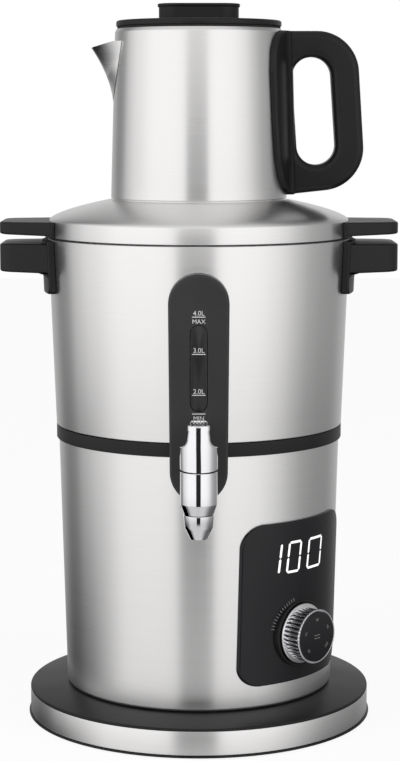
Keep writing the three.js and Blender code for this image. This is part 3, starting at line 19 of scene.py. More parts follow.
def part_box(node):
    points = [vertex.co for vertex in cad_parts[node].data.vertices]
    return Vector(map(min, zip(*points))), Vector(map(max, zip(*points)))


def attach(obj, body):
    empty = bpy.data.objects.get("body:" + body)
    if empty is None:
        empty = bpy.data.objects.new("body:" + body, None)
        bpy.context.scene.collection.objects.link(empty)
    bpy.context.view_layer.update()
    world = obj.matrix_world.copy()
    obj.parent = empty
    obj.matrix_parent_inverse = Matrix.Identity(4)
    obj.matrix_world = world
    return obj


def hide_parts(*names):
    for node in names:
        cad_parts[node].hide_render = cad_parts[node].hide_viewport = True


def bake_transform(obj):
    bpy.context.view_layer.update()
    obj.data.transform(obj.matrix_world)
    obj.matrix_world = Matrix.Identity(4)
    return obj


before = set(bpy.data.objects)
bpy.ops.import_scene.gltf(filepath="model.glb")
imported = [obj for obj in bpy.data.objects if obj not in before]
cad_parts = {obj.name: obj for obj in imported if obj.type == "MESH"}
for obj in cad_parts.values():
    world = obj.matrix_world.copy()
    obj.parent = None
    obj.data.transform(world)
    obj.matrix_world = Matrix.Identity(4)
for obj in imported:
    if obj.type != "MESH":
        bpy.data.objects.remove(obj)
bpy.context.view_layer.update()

# %% [markdown]
# ## Reading sizes
#
# A maker thinks in millimetres and Blender's frame is in metres. Each piece is therefore
# drawn in millimetres and scaled once, when it is finished. Heights and radii are read off
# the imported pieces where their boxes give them, so the fine piece fits the coarse one.

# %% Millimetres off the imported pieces
MM = 0.001
seat_gap = 0.3    # clearance between pieces that touch
overrun = 4       # how far a cutter runs past what it cuts


def low(node):
    """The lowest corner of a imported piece, in millimetres."""
    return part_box(node)[0] / MM


def high(node):
    """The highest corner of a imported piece, in millimetres."""
    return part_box(node)[1] / MM


def middle(node):
    """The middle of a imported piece, in millimetres."""
    return (low(node) + high(node)) / 2


def taper(foot, rim, height):
    """The radius at a height on a straight wall between two (radius, height) ends."""
    share = (height - foot[1]) / (rim[1] - foot[1])
    return foot[0] + (rim[0] - foot[0]) * share


# %% New objects and meshes
def new_object(name, data):
    """A new object in the scene."""
    item = bpy.data.objects.new(name, data)
    bpy.context.scene.collection.objects.link(item)
    return item


def mesh_from(name, bm):
    """A mesh that takes over what was drawn."""
    mesh = bpy.data.meshes.new(name)
    bm.to_mesh(mesh)
    bm.free()
    return mesh


# %% [markdown]
# ## The camera
#
# The photograph looks slightly down on the samovar from the front. Its camera was worked
# out from the round outlines, which fix how far away it stood and how far it was tipped.
# A long lens keeps the sides nearly upright, as in the photograph.

# %% The photograph's camera
photo_height = 761                 # pixels, the photograph's long side
focal_pixels = 2068.7
sensor = 36                        # the width of the film that the lens length refers to
tip_down = math.radians(7.5646)
camera_place = (0.000845, -1.548114, 0.459765)      # metres

camera_data = bpy.data.cameras.new("photo_camera")
camera_data.sensor_width = sensor
camera_data.lens = focal_pixels / photo_height * sensor
camera = new_object("photo_camera", camera_data)
camera.location = camera_place
camera.rotation_euler = (math.radians(90) - tip_down, 0, 0)
bpy.context.scene.camera = camera
print("lens", round(camera_data.lens, 2), "mm")

# %% [markdown]
# ## The studio
#
# Polished and brushed metal has hardly a colour of its own. It shows the room, so the room
# is what has to be lit well. A product studio surrounds the object with white cards and
# puts dark flags between them, which draw the dark bands down a steel cylinder. Here the
# world shader is that studio: a ramp of brightness round the horizon, and one narrow flag
# straight ahead that only reaches a little up and down. The studio is dimmer towards the
# floor. The camera, and rays that pass through glass, see plain white.

# %% Nodes that reckon
def math_node(tree, operation, *values):
    """A Math node. Sockets are linked and numbers are typed in."""
    node = tree.nodes.new("ShaderNodeMath")
    node.operation = operation
    for socket, value in zip(node.inputs, values):
        if isinstance(value, bpy.types.NodeSocket):
            tree.links.new(value, socket)
        else:
            socket.default_value = value
    return node.outputs[0]


def straight_rays(tree):
    """1 for rays from the camera and through glass, which see plain white, or else 0."""
    ray = tree.nodes.new("ShaderNodeLightPath").outputs
    return math_node(tree, "MAXIMUM", ray["Is Camera Ray"], ray["Is Transmission Ray"])


def mix_into(tree, output, share, first, second):
    """Sends a mix of two shaders to an output."""
    mix = tree.nodes.new("ShaderNodeMixShader")
    for source, socket in zip((share, first.outputs[0], second.outputs[0]), mix.inputs):
        tree.links.new(source, socket)
    tree.links.new(mix.outputs[0], output.inputs["Surface"])


# %% Cards round the horizon
cards = [
    # azimuth from straight ahead towards the right, in degrees, and brightness
    (-180, 0.60), (-152, 0.36), (-134, 0.22), (-122, 0.27), (-108, 0.60), (-92, 0.80),
    (-62, 0.97), (-34, 0.98), (-6, 0.93), (24, 0.99), (46, 0.96), (61, 0.86), (70, 0.75),
    (80, 0.57), (95, 0.39), (112, 0.31), (130, 0.28), (150, 0.37), (180, 0.60),
]
world = bpy.data.worlds.new("studio")
world.use_nodes = True
bpy.context.scene.world = world
sky = world.node_tree
sky.nodes.clear()


def sky_math(operation, *values):
    """A Math node of the sky."""
    return math_node(sky, operation, *values)


split = sky.nodes.new("ShaderNodeSeparateXYZ")
sky.links.new(sky.nodes.new("ShaderNodeTexCoord").outputs["Generated"], split.inputs[0])
x, y, z = split.outputs
azimuth = sky_math("ARCTAN2", x, sky_math("MULTIPLY", y, -1))
elevation = sky_math("ARCSINE", z)
horizon = sky.nodes.new("ShaderNodeValToRGB")
horizon.color_ramp.interpolation = "EASE"
sky.links.new(sky_math("MULTIPLY_ADD", azimuth, 1 / math.tau, 0.5), horizon.inputs[0])
stops = horizon.color_ramp.elements
while len(stops) > 1:
    stops.remove(stops[-1])
for number, (degrees, brightness) in enumerate(cards):
    place = degrees / 360 + 0.5
    stop = stops[0] if number == 0 else stops.new(place)
    stop.position = place
    stop.color = (brightness, brightness, brightness, 1)
print("studio with", len(cards), "stops round the horizon")

# %% The flag straight ahead, and what the camera sees
flag_azimuth, flag_half, flag_edge = -2, 14, 1.5         # degrees
flag_low, flag_high, flag_rise = -19, -1, 4              # degrees above the horizon
flag_level = 0.02
ceiling_level = 0.8
studio_power = 1.16


def fade(angle, start, end):
    """0 where an angle is before start, 1 after end, both in degrees, smooth between."""
    node = sky.nodes.new("ShaderNodeMapRange")
    node.interpolation_type = "SMOOTHSTEP"
    sky.links.new(angle, node.inputs["Value"])
    node.inputs["From Min"].default_value = math.radians(start)
    node.inputs["From Max"].default_value = math.radians(end)
    return node.outputs["Result"]


aside = sky_math("ABSOLUTE", sky_math("SUBTRACT", azimuth, math.radians(flag_azimuth)))
beside = fade(aside, flag_half - flag_edge, flag_half + flag_edge)
below = fade(elevation, flag_low, flag_low - flag_rise)
above = fade(elevation, flag_high, flag_high + flag_rise)
open_sky = sky_math("MAXIMUM", beside, sky_math("MAXIMUM", below, above))
level = sky_math("MULTIPLY", horizon.outputs[0], sky_math("MAXIMUM", open_sky, flag_level))
ceiling = sky_math("MULTIPLY", fade(elevation, 30, 75), ceiling_level)
level = sky_math("MAXIMUM", level, ceiling)
lower = fade(elevation, -9, -21)
dimmer = [
    # where the studio is dimmer than its power, and by how much
    (lower, -0.45),
    (sky_math("MULTIPLY", lower, fade(azimuth, -62, -116)), -0.85),
    (sky_math("MULTIPLY", lower, fade(azimuth, 35, 95)), -0.33),
    (fade(elevation, 12, 38), -0.4),
]
power = studio_power
for place, change in dimmer:
    power = sky_math("MULTIPLY_ADD", place, change, power)
studio_light = sky.nodes.new("ShaderNodeBackground")
sky.links.new(sky_math("MULTIPLY", level, power), studio_light.inputs["Color"])
backdrop = sky.nodes.new("ShaderNodeBackground")
backdrop.inputs["Color"].default_value = (1, 1, 1, 1)
mix_into(sky, sky.nodes.new("ShaderNodeOutputWorld"), straight_rays(sky), studio_light, backdrop)
bpy.context.scene.view_settings.view_transform = "Standard"

# %% [markdown]
# ## Lamps and floor
#
# Plastic shows its own colour, so it needs some light that comes from a direction. Two
# large soft lamps stand left and right of the camera. They don't show in reflections,
# because the cards of the studio already do. The floor is white with a little light of
# its own, so it melts into the backdrop and still keeps the soft shadow under the base.

# %% Two soft lamps
lamp_size = 1.2
lamp_target = Vector((0, 0, 0.27))     # the middle of the samovar
for name, place, power in (
        ("lamp_left", (-1.5, -1.7, 1.3), 22), ("lamp_right", (1.6, -1.3, 1.1), 14)):
    data = bpy.data.lights.new(name, "AREA")
    data.energy = power
    data.size = lamp_size
    lamp = new_object(name, data)
    lamp.location = place
    lamp.rotation_euler = (lamp_target - Vector(place)).to_track_quat("-Z", "Y").to_euler()
    lamp.visible_glossy = False

# %% A white floor that keeps the shadow
floor_size = 8
floor_white = 0.9
own_light = 0.9       # the share of the floor's brightness that is its own

floor_bm = bmesh.new()
bmesh.ops.create_grid(floor_bm, x_segments=1, y_segments=1, size=floor_size / 2)
floor_mesh = mesh_from("studio_floor", floor_bm)
studio_floor = new_object("studio_floor", floor_mesh)
studio_floor.visible_glossy = False

floor_paint = bpy.data.materials.new("floor_paint")
floor_paint.use_nodes = True
paint = floor_paint.node_tree
paint_shader = paint.nodes["Principled BSDF"]
paint_shader.inputs["Base Color"].default_value = (floor_white, floor_white, floor_white, 1)
paint_shader.inputs["Roughness"].default_value = 0.9
share = math_node(paint, "MULTIPLY", straight_rays(paint), own_light)
glow = paint.nodes.new("ShaderNodeEmission")
mix_into(paint, paint.nodes["Material Output"], share, paint_shader, glow)
floor_mesh.materials.append(floor_paint)

# %% [markdown]
# ## Two effects that several finishes share
#
# Brushed sheet has fine scratches that run round the body. A noise that is stretched along
# the circle and squeezed along the height gives such lines on every turned piece. Moulded
# plastic has a fine even grain from its mould. Each effect is a node group, so that every
# finish uses the same one with its own numbers.

# %% Fine lines of brushed sheet
def new_group(name, **numbers):
    """A shader group with number inputs and the outputs Tone and Height."""
    group = bpy.data.node_groups.new(name, "ShaderNodeTree")
    sockets = [(label, "INPUT", value) for label, value in numbers.items()]
    for label, way, value in [*sockets, ("Tone", "OUTPUT", 0), ("Height", "OUTPUT", 0)]:
        group.interface.new_socket(
            name=label, in_out=way, socket_type="NodeSocketFloat").default_value = value
    place = group.nodes.new("ShaderNodeTexCoord").outputs["Object"]
    ins = group.nodes.new("NodeGroupInput").outputs
    return group, place, ins, group.nodes.new("NodeGroupOutput").inputs


def noise_at(tree, vector, scale, detail=2.0):
    """A noise with its scale given by a socket or a number."""
    node = tree.nodes.new("ShaderNodeTexNoise")
    tree.links.new(vector, node.inputs["Vector"])
    node.inputs["Detail"].default_value = detail
    if isinstance(scale, bpy.types.NodeSocket):
        tree.links.new(scale, node.inputs["Scale"])
    else:
        node.inputs["Scale"].default_value = scale
    return node.outputs["Fac"]


brush_lines, place, brush_in, brush_out = new_group("brush_lines", Around=9.0, Across=1500.0)
parts = brush_lines.nodes.new("ShaderNodeSeparateXYZ")
brush_lines.links.new(place, parts.inputs[0])
stretched = brush_lines.nodes.new("ShaderNodeCombineXYZ")
for axis, factor in enumerate(("Around", "Around", "Across")):
    scaled = math_node(brush_lines, "MULTIPLY", parts.outputs[axis], brush_in[factor])
    brush_lines.links.new(scaled, stretched.inputs[axis])
fine = noise_at(brush_lines, stretched.outputs[0], 1.0, 3.0)
broad = noise_at(brush_lines, stretched.outputs[0], 0.22, 1.0)
fine_share = math_node(brush_lines, "MULTIPLY", fine, 0.6)
tone = math_node(brush_lines, "MULTIPLY_ADD", broad, 0.4, fine_share)
brush_lines.links.new(tone, brush_out["Tone"])
brush_lines.links.new(fine, brush_out["Height"])

# %% Fine grain of moulded plastic
mould_grain, place, grain_in, grain_out = new_group("mould_grain", Grains=2600.0, Patches=18.0)
for scale, result in (("Patches", "Tone"), ("Grains", "Height")):
    mould_grain.links.new(noise_at(mould_grain, place, grain_in[scale]), grain_out[result])

# %% A finish from a shader, a group and a few numbers
looks = {}                       # every finish by its name
tone_low, tone_high = 0.3, 0.7   # the part of the noise's range that is used
relief_height = 0.0001


def finish(name, effect, colors, roughness, bump, sockets, **settings):
    """A material whose colour, roughness and bump follow one of the shared effects.

    colors and roughness each hold the value where the effect is low and where it is high.
    A colour that is one number is a neutral grey.
    """
    material = bpy.data.materials.new(name)
    material.use_nodes = True
    tree = material.node_tree
    shader = tree.nodes["Principled BSDF"]
    group = tree.nodes.new("ShaderNodeGroup")
    group.node_tree = effect
    ramp = tree.nodes.new("ShaderNodeValToRGB")
    for element, place, color in zip(ramp.color_ramp.elements, (tone_low, tone_high), colors):
        element.position = place
        element.color = (*color, 1) if isinstance(color, tuple) else (color, color, color, 1)
    spread = tree.nodes.new("ShaderNodeMapRange")
    relief = tree.nodes.new("ShaderNodeBump")
    values = {
        shader: sockets, group: settings,
        spread: {"From Min": tone_low, "From Max": tone_high,
                 "To Min": roughness[0], "To Max": roughness[1]},
        relief: {"Strength": bump, "Distance": relief_height},
    }
    for node, numbers in values.items():
        for socket, value in numbers.items():
            node.inputs[socket].default_value = value
    for source, socket in (
            (group.outputs["Tone"], ramp.inputs[0]),
            (ramp.outputs[0], shader.inputs["Base Color"]),
            (group.outputs["Tone"], spread.inputs["Value"]),
            (spread.outputs[0], shader.inputs["Roughness"]),
            (group.outputs["Height"], relief.inputs["Height"]),
            (relief.outputs[0], shader.inputs["Normal"])):
        tree.links.new(source, socket)
    looks[name] = material


# %% [markdown]
# ## The metals
#
# The housing is stainless sheet, brushed round the body. Brushing blurs a reflection along
# the height and keeps it crisp around, which the shader's anisotropy does: its tangent
# runs round the axis, and a quarter turn of its rotation stretches the gloss upright. The
# tap and the dial are plated and polished, with only faint unevenness.

# %% Brushed and plain steel, chrome, zinc and aluminium
metal = {"Metallic": 1.0}
finish(
    "brushed_steel", brush_lines, ((0.875, 0.865, 0.86), (0.905, 0.895, 0.89)), (0.27, 0.31), 0.02,
    {**metal, "Anisotropic": 0.75, "Anisotropic Rotation": 0.25})
brushed = looks["brushed_steel"].node_tree
tangent = brushed.nodes.new("ShaderNodeTangent")
tangent.direction_type = "RADIAL"
tangent.axis = "Z"
brushed.links.new(tangent.outputs[0], brushed.nodes["Principled BSDF"].inputs["Tangent"])

finish("inner_steel", brush_lines, (0.52, 0.62), (0.34, 0.46), 0.05, metal)
finish(
    "chrome", mould_grain, ((0.79, 0.79, 0.81), (0.83, 0.83, 0.85)), (0.04, 0.08), 0.01, metal,
    Grains=900.0)
finish(
    "zinc_steel", mould_grain, ((0.36, 0.36, 0.35), (0.50, 0.50, 0.49)), (0.30, 0.48), 0.15,
    metal, Patches=180.0)
finish(
    "aluminium", mould_grain, (0.50, 0.64), (0.38, 0.55), 0.2, metal, Patches=60.0, Grains=1200.0)

# %% [markdown]
# ## The plastics, rubber and glass
#
# Grips, base and gauge are moulded in a satin black with a fine grain that softens the
# light. The gauge's is a shade lighter. The control panel is glossier and smooth. Feet and
# seals are rubber, which is almost fully matt. The gauge's window is smoked, and the sight
# tube behind it is clear. The display's digits glow.

# %% Blacks, silicone, glass, the pale plastics, print and light
shine = "Specular IOR Level"
finish("satin_black", mould_grain, (0.008, 0.011), (0.32, 0.39), 0.06, {shine: 0.24})
finish("gauge_black", mould_grain, (0.020, 0.024), (0.38, 0.44), 0.06, {shine: 0.4})
finish(
    "gloss_black", mould_grain, ((0.0065, 0.0065, 0.008), (0.0085, 0.0085, 0.010)), (0.14, 0.18),
    0.01, {shine: 0.32})
finish("rubber", mould_grain, (0.010, 0.016), (0.75, 0.9), 0.25, {}, Grains=1400.0)
finish(
    "silicone", mould_grain, ((0.45, 0.43, 0.39), (0.55, 0.53, 0.48)), (0.5, 0.6), 0.05,
    {"Subsurface Weight": 0.15})
finish(
    "glass", mould_grain, (0.92, 0.98), (0.02, 0.05), 0.0,
    {"Transmission Weight": 0.95, "IOR": 1.47})
finish(
    "smoked_lens", mould_grain, (0.017, 0.020), (0.22, 0.26), 0.0,
    {"Transmission Weight": 0.1, "IOR": 1.42})
finish("part_white", mould_grain, ((0.66, 0.66, 0.63), (0.76, 0.76, 0.73)), (0.5, 0.6), 0.1, {})
finish(
    "board_green", mould_grain, ((0.010, 0.065, 0.030), (0.020, 0.130, 0.060)), (0.35, 0.5), 0.3,
    {}, Patches=260.0, Grains=700.0)
finish("print_white", mould_grain, (0.46, 0.54), (0.45, 0.5), 0.0, {})
finish("print_grey", mould_grain, (0.13, 0.17), (0.45, 0.5), 0.0, {})
finish(
    "display_light", mould_grain, (0.4, 0.5), (0.3, 0.4), 0.0,
    {"Emission Color": (1, 1, 1, 1), "Emission Strength": 0.8})
looks["black_plastic"] = looks["satin_black"]

# %% [markdown]
# ## Tools for making pieces
#
# Most pieces are one of three kinds. A turned piece is a line of corners, some of them
# rounded, that is spun about an axis. A plate is an outline that is given thickness and
# soft rims. A hugging plate is such a plate, sliced and bent round a tapered wall. A cut
# is made for good with a Boolean, and the cutter is thrown away.

# %% Lines with rounded corners
weld = 0.002          # points closer than this become one


def bevel(bm, items, size, steps, affect="EDGES"):
    """Rounds edges or corners."""
    bmesh.ops.bevel(
        bm, geom=items, offset=size, offset_type="OFFSET", segments=steps, profile=0.5,
        affect=affect, material=-1)


def round_all(bm, verts, corners):
    """Rounds each vertex whose corner gives a radius as its third value."""
    for vert, corner in zip(verts, corners):
        if len(corner) > 2:
            ways = [(edge.other_vert(vert).co - vert.co).normalized() for edge in vert.link_edges]
            angle = ways[0].angle(ways[1])
            steps = 4 + round(math.sqrt(corner[2]) * (math.pi - angle) * 2)
            bevel(bm, [vert], corner[2] / math.tan(angle / 2), steps, "VERTICES")


def tidy(bm):
    """Welds doubles and turns every face outwards."""
    bmesh.ops.remove_doubles(bm, verts=bm.verts, dist=weld)
    bmesh.ops.recalc_face_normals(bm, faces=bm.faces)
    return bm


# %% Turned pieces
def spun(corners, steps=144):
    """Spins (radius, height, rounding) corners about the upright axis.

    A line that starts and ends on the axis stays open, and any other is closed to a ring.
    """
    bm = bmesh.new()
    verts = [bm.verts.new((corner[0], 0, corner[1])) for corner in corners]
    ends = verts[1:] if corners[0][0] == 0 else verts[1:] + verts[:1]
    for pair in zip(verts, ends):
        bm.edges.new(pair)
    round_all(bm, verts, corners)
    bmesh.ops.spin(
        bm, geom=bm.verts[:] + bm.edges[:], axis=(0, 0, 1), cent=(0, 0, 0), dvec=(0, 0, 0),
        angle=math.tau, steps=steps, use_merge=True, use_duplicate=False)
    return tidy(bm)


def rod(radius, start, end, sides=48):
    """A round bar between two heights on the upright axis."""
    bm = bmesh.new()
    bmesh.ops.create_cone(
        bm, cap_ends=True, segments=sides, radius1=radius, radius2=radius, depth=end - start)
    bmesh.ops.translate(bm, vec=(0, 0, (start + end) / 2), verts=bm.verts)
    return bm


# %% Plates and blocks
sharp = 0.5           # radians between two faces that make an edge


def outline(points, corners):
    """A flat face on points, rounded where the corners say so."""
    bm = bmesh.new()
    verts = [bm.verts.new(point) for point in points]
    bm.faces.new(verts)
    round_all(bm, verts, corners)
    bmesh.ops.remove_doubles(bm, verts=bm.verts, dist=weld)
    return bm


def thicken(bm, way):
    """Gives flat faces their thickness."""
    raised = bmesh.ops.extrude_face_region(bm, geom=bm.faces[:])["geom"]
    lifted = [item for item in raised if isinstance(item, bmesh.types.BMVert)]
    bmesh.ops.translate(bm, verts=lifted, vec=way)
    bmesh.ops.recalc_face_normals(bm, faces=bm.faces)


def rims(bm, heights):
    """The edges of the outline that lie level at one of the heights."""
    def level_edge(edge):
        ends = [vert.co.z for vert in edge.verts]
        return any(max(abs(end - height) for end in ends) < weld / 2 for height in heights)
    return [edge for edge in bm.edges if level_edge(edge) and edge.calc_face_angle(0) > sharp]


def plate(corners, bottom, top, edge=0.0, steps=3, both=True):
    """Raises (x, y, rounding) corners from bottom to top and softens one or both rims."""
    bm = outline([(corner[0], corner[1], bottom) for corner in corners], corners)
    thicken(bm, (0, 0, top - bottom))
    if edge:
        bevel(bm, rims(bm, [top, bottom] if both else [top]), edge, steps)
    return tidy(bm)


def rectangle(half, start, end, lower, upper):
    """Corners from -half to half and from start to end, rounded below and above."""
    return [(-half, start, lower), (half, start, lower), (half, end, upper), (-half, end, upper)]


def box(low_corner, high_corner):
    """A block between two corners."""
    bm = bmesh.new()
    bmesh.ops.create_cube(bm, size=1)
    size = [b - a for a, b in zip(low_corner, high_corner)]
    centre = [(a + b) / 2 for a, b in zip(low_corner, high_corner)]
    bmesh.ops.scale(bm, vec=size, verts=bm.verts)
    bmesh.ops.translate(bm, vec=centre, verts=bm.verts)
    return bm


# %% Placing
def moved(bm, *matrices):
    """Applies matrices in the order given."""
    for matrix in matrices:
        bmesh.ops.transform(bm, matrix=matrix, verts=bm.verts)
    return bm


def rotation(degrees, axis):
    """A turn about one axis through the origin."""
    return Matrix.Rotation(math.radians(degrees), 4, axis)


def shift(x=0, y=0, z=0):
    """A move."""
    return Matrix.Translation((x, y, z))


def outwards(azimuth, height):
    """Lays a piece built along +Z so that it points out of the housing."""
    return rotation(90, "X"), rotation(azimuth, "Z"), shift(z=height)


def bore(radius, start, end, azimuth, height, sides=48):
    """A round bar that points out of the housing, between two distances from its axis."""
    return moved(rod(radius, start, end, sides), *outwards(azimuth, height))


def ring_of(count, make, first=0):
    """Copies of what make gives, evenly round the upright axis."""
    return [moved(make(), rotation((n + first) * 360 / count, "Z")) for n in range(count)]


def merged(meshes):
    """Puts several meshes into one."""
    whole = bmesh.new()
    for bm in meshes:
        mesh = mesh_from("passing", bm)
        whole.from_mesh(mesh)
        bpy.data.meshes.remove(mesh)
    return whole


# %% Cutting and fusing
def as_object(bm):
    """A passing object that holds a mesh while it is cut. Triangles cut most cleanly."""
    bmesh.ops.triangulate(bm, faces=bm.faces)
    return new_object("passing", mesh_from("passing", bm))


def combined(operation, bm, *others):
    """Joins, cuts or intersects one mesh with others, one after another."""
    holder = as_object(bm)
    helpers = [as_object(other) for other in others]
    for helper in helpers:
        step = holder.modifiers.new("step", "BOOLEAN")
        step.operation = operation
        step.solver = "MANIFOLD"
        step.object = helper
    bpy.context.view_layer.update()
    result = bmesh.new()
    result.from_object(holder, bpy.context.evaluated_depsgraph_get())
    for leftover in [holder, *helpers]:
        mesh = leftover.data
        bpy.data.objects.remove(leftover)
        bpy.data.meshes.remove(mesh)
    return result


def cut(bm, *cutters):
    """Cuts meshes out of another."""
    return combined("DIFFERENCE", bm, *cutters)


def join(bm, *others):
    """Fuses meshes into one skin."""
    return combined("UNION", bm, *others)


# %% Handing a piece over
def hand_over(
        name, bm, body, slot, stands_for=(), look=None, crease=32, flat_faces=False, bend=None):
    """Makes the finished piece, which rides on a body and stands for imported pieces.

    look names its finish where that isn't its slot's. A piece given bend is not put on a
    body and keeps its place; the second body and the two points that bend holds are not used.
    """
    bmesh.ops.scale(bm, vec=(MM, MM, MM), verts=bm.verts)
    mesh = mesh_from(name, bm)
    mesh.shade_smooth()
    mesh.set_sharp_from_angle(angle=math.radians(crease))
    mesh.materials.append(looks[look or slot])
    piece = new_object(name, mesh)
    if flat_faces:
        piece.modifiers.new("flat_faces", "WEIGHTED_NORMAL").keep_sharp = True
    if bend:
        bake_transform(piece)
    else:
        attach(piece, body)
    if stands_for:
        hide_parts(*stands_for)
    size = " x ".join(f"{side / MM:.1f}" for side in piece.dimensions)
    print(f"{name}: {len(mesh.polygons)} faces, {size} mm")


# %% [markdown]
# ## The base
#
# The base is a black plastic pan with a thin lip, a steel band round it and a black plate
# on top. All three are turned pieces, so each is one spun line. The lip has a small
# radius, and the band's edges are barely broken, as rolled sheet is. The pan's vents, the
# pockets of the feet and the screw holes are cut afterwards.

# %% Pan
pan_bottom, pan_top = low("base_pan").z, high("base_pan").z
lip_radius = high("base_pan").x
band_low, band_high = low("base_trim_band").z, high("base_trim_band").z
band_radius = high("base_trim_band").x
band_inner = band_radius - 0.9
pan_out = band_inner - seat_gap
pan_in = pan_out - 2
pan_floor = pan_bottom + 3.4
feet = [f"base_foot_{number}" for number in range(1, 5)]
screws = [f"base_screw_{number}" for number in range(1, 4)]
foot_radius = (high(feet[0]).x - low(feet[0]).x) / 2
head_radius, head_depth = 4.1, 2         # the room for a screw's head
vent_plan = [(18, -2, 1.9), (44, -2, 1.9), (44, 2, 1.9), (18, 2, 1.9)]

pan = spun([
    (0, pan_bottom), (lip_radius, pan_bottom, 0.5), (lip_radius, band_low - seat_gap, 0.4),
    (pan_out, band_low - seat_gap), (pan_out, pan_top), (pan_in, pan_top),
    (pan_in, pan_floor, 2), (0, pan_floor),
])
under_pan = pan_bottom - overrun
pockets = [
    moved(rod(foot_radius + seat_gap, under_pan, high(foot).z + seat_gap), shift(*middle(foot).xy))
    for foot in feet
]
screw_holes = [
    moved(rod(head_radius, under_pan, pan_bottom + head_depth), shift(*middle(screw).xy))
    for screw in screws
]
vents = ring_of(6, lambda: plate(vent_plan, -overrun, pan_bottom + 2 * overrun), 0.5)
pan = cut(pan, *pockets, *screw_holes, *vents)
hand_over("pan_with_lip", pan, "base", "black_plastic", ["base_pan"])

# %% Feet, band and top plate
for number, foot in enumerate(feet):
    bottom, top = low(foot).z, high(foot).z
    pad = spun([(0, bottom), (foot_radius, bottom, 0.4), (foot_radius, top), (0, top)], steps=48)
    pad = moved(pad, shift(*middle(foot).xy))
    hand_over(f"rubber_foot_{number + 1}", pad, "base", "rubber", [foot])

band = spun([
    (band_inner, band_low), (band_radius, band_low, 0.3), (band_radius, band_high, 0.3),
    (band_inner, band_high),
])
hand_over("steel_trim_band", band, "base", "brushed_steel", ["base_trim_band"])

shell_low = low("lower_shell").z
shell_foot = (100.4, shell_low)
shell_rim = (high("lower_shell").x, high("lower_shell").z)
spigot_radius = shell_foot[0] - 9.6      # of the ring that centres the shell
spigot_inner = spigot_radius - 2
plate_seat = shell_low - seat_gap
plate_low = band_high + seat_gap
spigot_top = plate_seat + 5
skin_top = plate_seat - 3.9
skin_bottom = skin_top - 2.2
top_plate = spun([
    (0, skin_bottom), (spigot_inner, skin_bottom), (band_inner - 2, plate_low),
    (band_radius, plate_low, 0.3), (band_radius, plate_low + 1.6, 1.0),
    (shell_foot[0] + 2, plate_seat - 0.1, 6), (spigot_radius, plate_seat),
    (spigot_radius, spigot_top), (spigot_inner, spigot_top), (spigot_inner, skin_top),
    (0, skin_top),
])
hand_over("plate_over_base", top_plate, "base", "black_plastic", ["base_top_plate"])

# %% [markdown]
# ## The lower shell and the black band
#
# The lower housing is a rolled and welded steel cone with a rounded hem at its foot. The
# band above it is plastic and hides the joint with the tank. Openings behind the control
# panel, round the tap's pipe and for the cord's gland are cut through the sheet.

# %% Lower shell
sheet = 1                                # millimetres, of every steel wall
hem_inner = shell_foot[0] - 9
tap_axis = -middle("tap_nozzle").y       # from the samovar's axis to the tap's own axis
shank_height = 198                       # of the tap's pipe above the floor
shank_radius = 6.5
gland_height, gland_neck = middle("cord_gland").z, 6
panel_azimuth = 49.2
opening = rectangle(44, 54.9, 150.5, 5, 5)   # in the sheet behind the panel
through_wall = (70, 120)                 # distances from the axis that a cutter spans


def shell_radius(height):
    """The outer radius of the lower shell."""
    return taper(shell_foot, shell_rim, height)


lower_shell = spun([
    (hem_inner, shell_low), (*shell_foot, 2.4), shell_rim,
    (shell_rim[0] - sheet, shell_rim[1]), (shell_foot[0] - sheet, shell_low + sheet, 1.4),
    (hem_inner, shell_low + sheet),
])
panel_room = moved(plate(opening, 50, 120), *outwards(panel_azimuth, 0))
pipe_room = bore(shank_radius + 2 * seat_gap, *through_wall, 0, shank_height)
gland_room = bore(gland_neck + seat_gap, *through_wall, 180, gland_height)
lower_shell = cut(lower_shell, panel_room, pipe_room, gland_room)
hand_over("steel_lower_shell", lower_shell, "base", "brushed_steel", ["lower_shell"])

# %% Black band
joint_radius = high("middle_band").x
joint_low, joint_high = shell_rim[1] + seat_gap, high("middle_band").z
tongue_out = shell_rim[0] - sheet - 2 * seat_gap
tongue_in, tongue_low = tongue_out - 4, low("middle_band").z
middle_band = spun([
    (tongue_in, tongue_low), (tongue_out, tongue_low), (tongue_out, joint_low),
    (joint_radius, joint_low, 0.5), (joint_radius, joint_high, 0.5), (tongue_in, joint_high),
])
hand_over("black_middle_band", middle_band, "base", "black_plastic", ["middle_band"])

# %% [markdown]
# ## The tank
#
# The tank is one drawn vessel. Its upper wall is the outside of the samovar, and a narrower
# sump reaches down to the heater. The lid lifts off, so the inside is modelled as well:
# the line of corners runs up the outside and back down the inside.

# %% Tank
tank_foot = (107.2, joint_high + seat_gap)
tank_rim = (high("tank").x, high("tank").z)
sump_out, sump_in = 80, 80 - sheet
sump_low = low("tank").z
shelf = tank_foot[1] + sheet             # the floor inside, round the sump


def tank_radius(height):
    """The outer radius of the tank."""
    return taper(tank_foot, tank_rim, height)


tank_body = spun([
    (0, sump_low), (sump_out, sump_low, 3), (sump_out, tank_foot[1], 1.5), (*tank_foot, 0.9),
    (*tank_rim, 0.3), (tank_rim[0] - sheet, tank_rim[1], 0.45), (tank_foot[0] - sheet, shelf, 1.2),
    (sump_in, shelf, 1.2), (sump_in, sump_low + sheet, 2.2), (0, sump_low + sheet),
])
pipe_hole = bore(shank_radius + seat_gap, 40, 84, 0, shank_height)
hand_over("steel_tank", cut(tank_body, pipe_hole), "base", "brushed_steel", ["tank"])
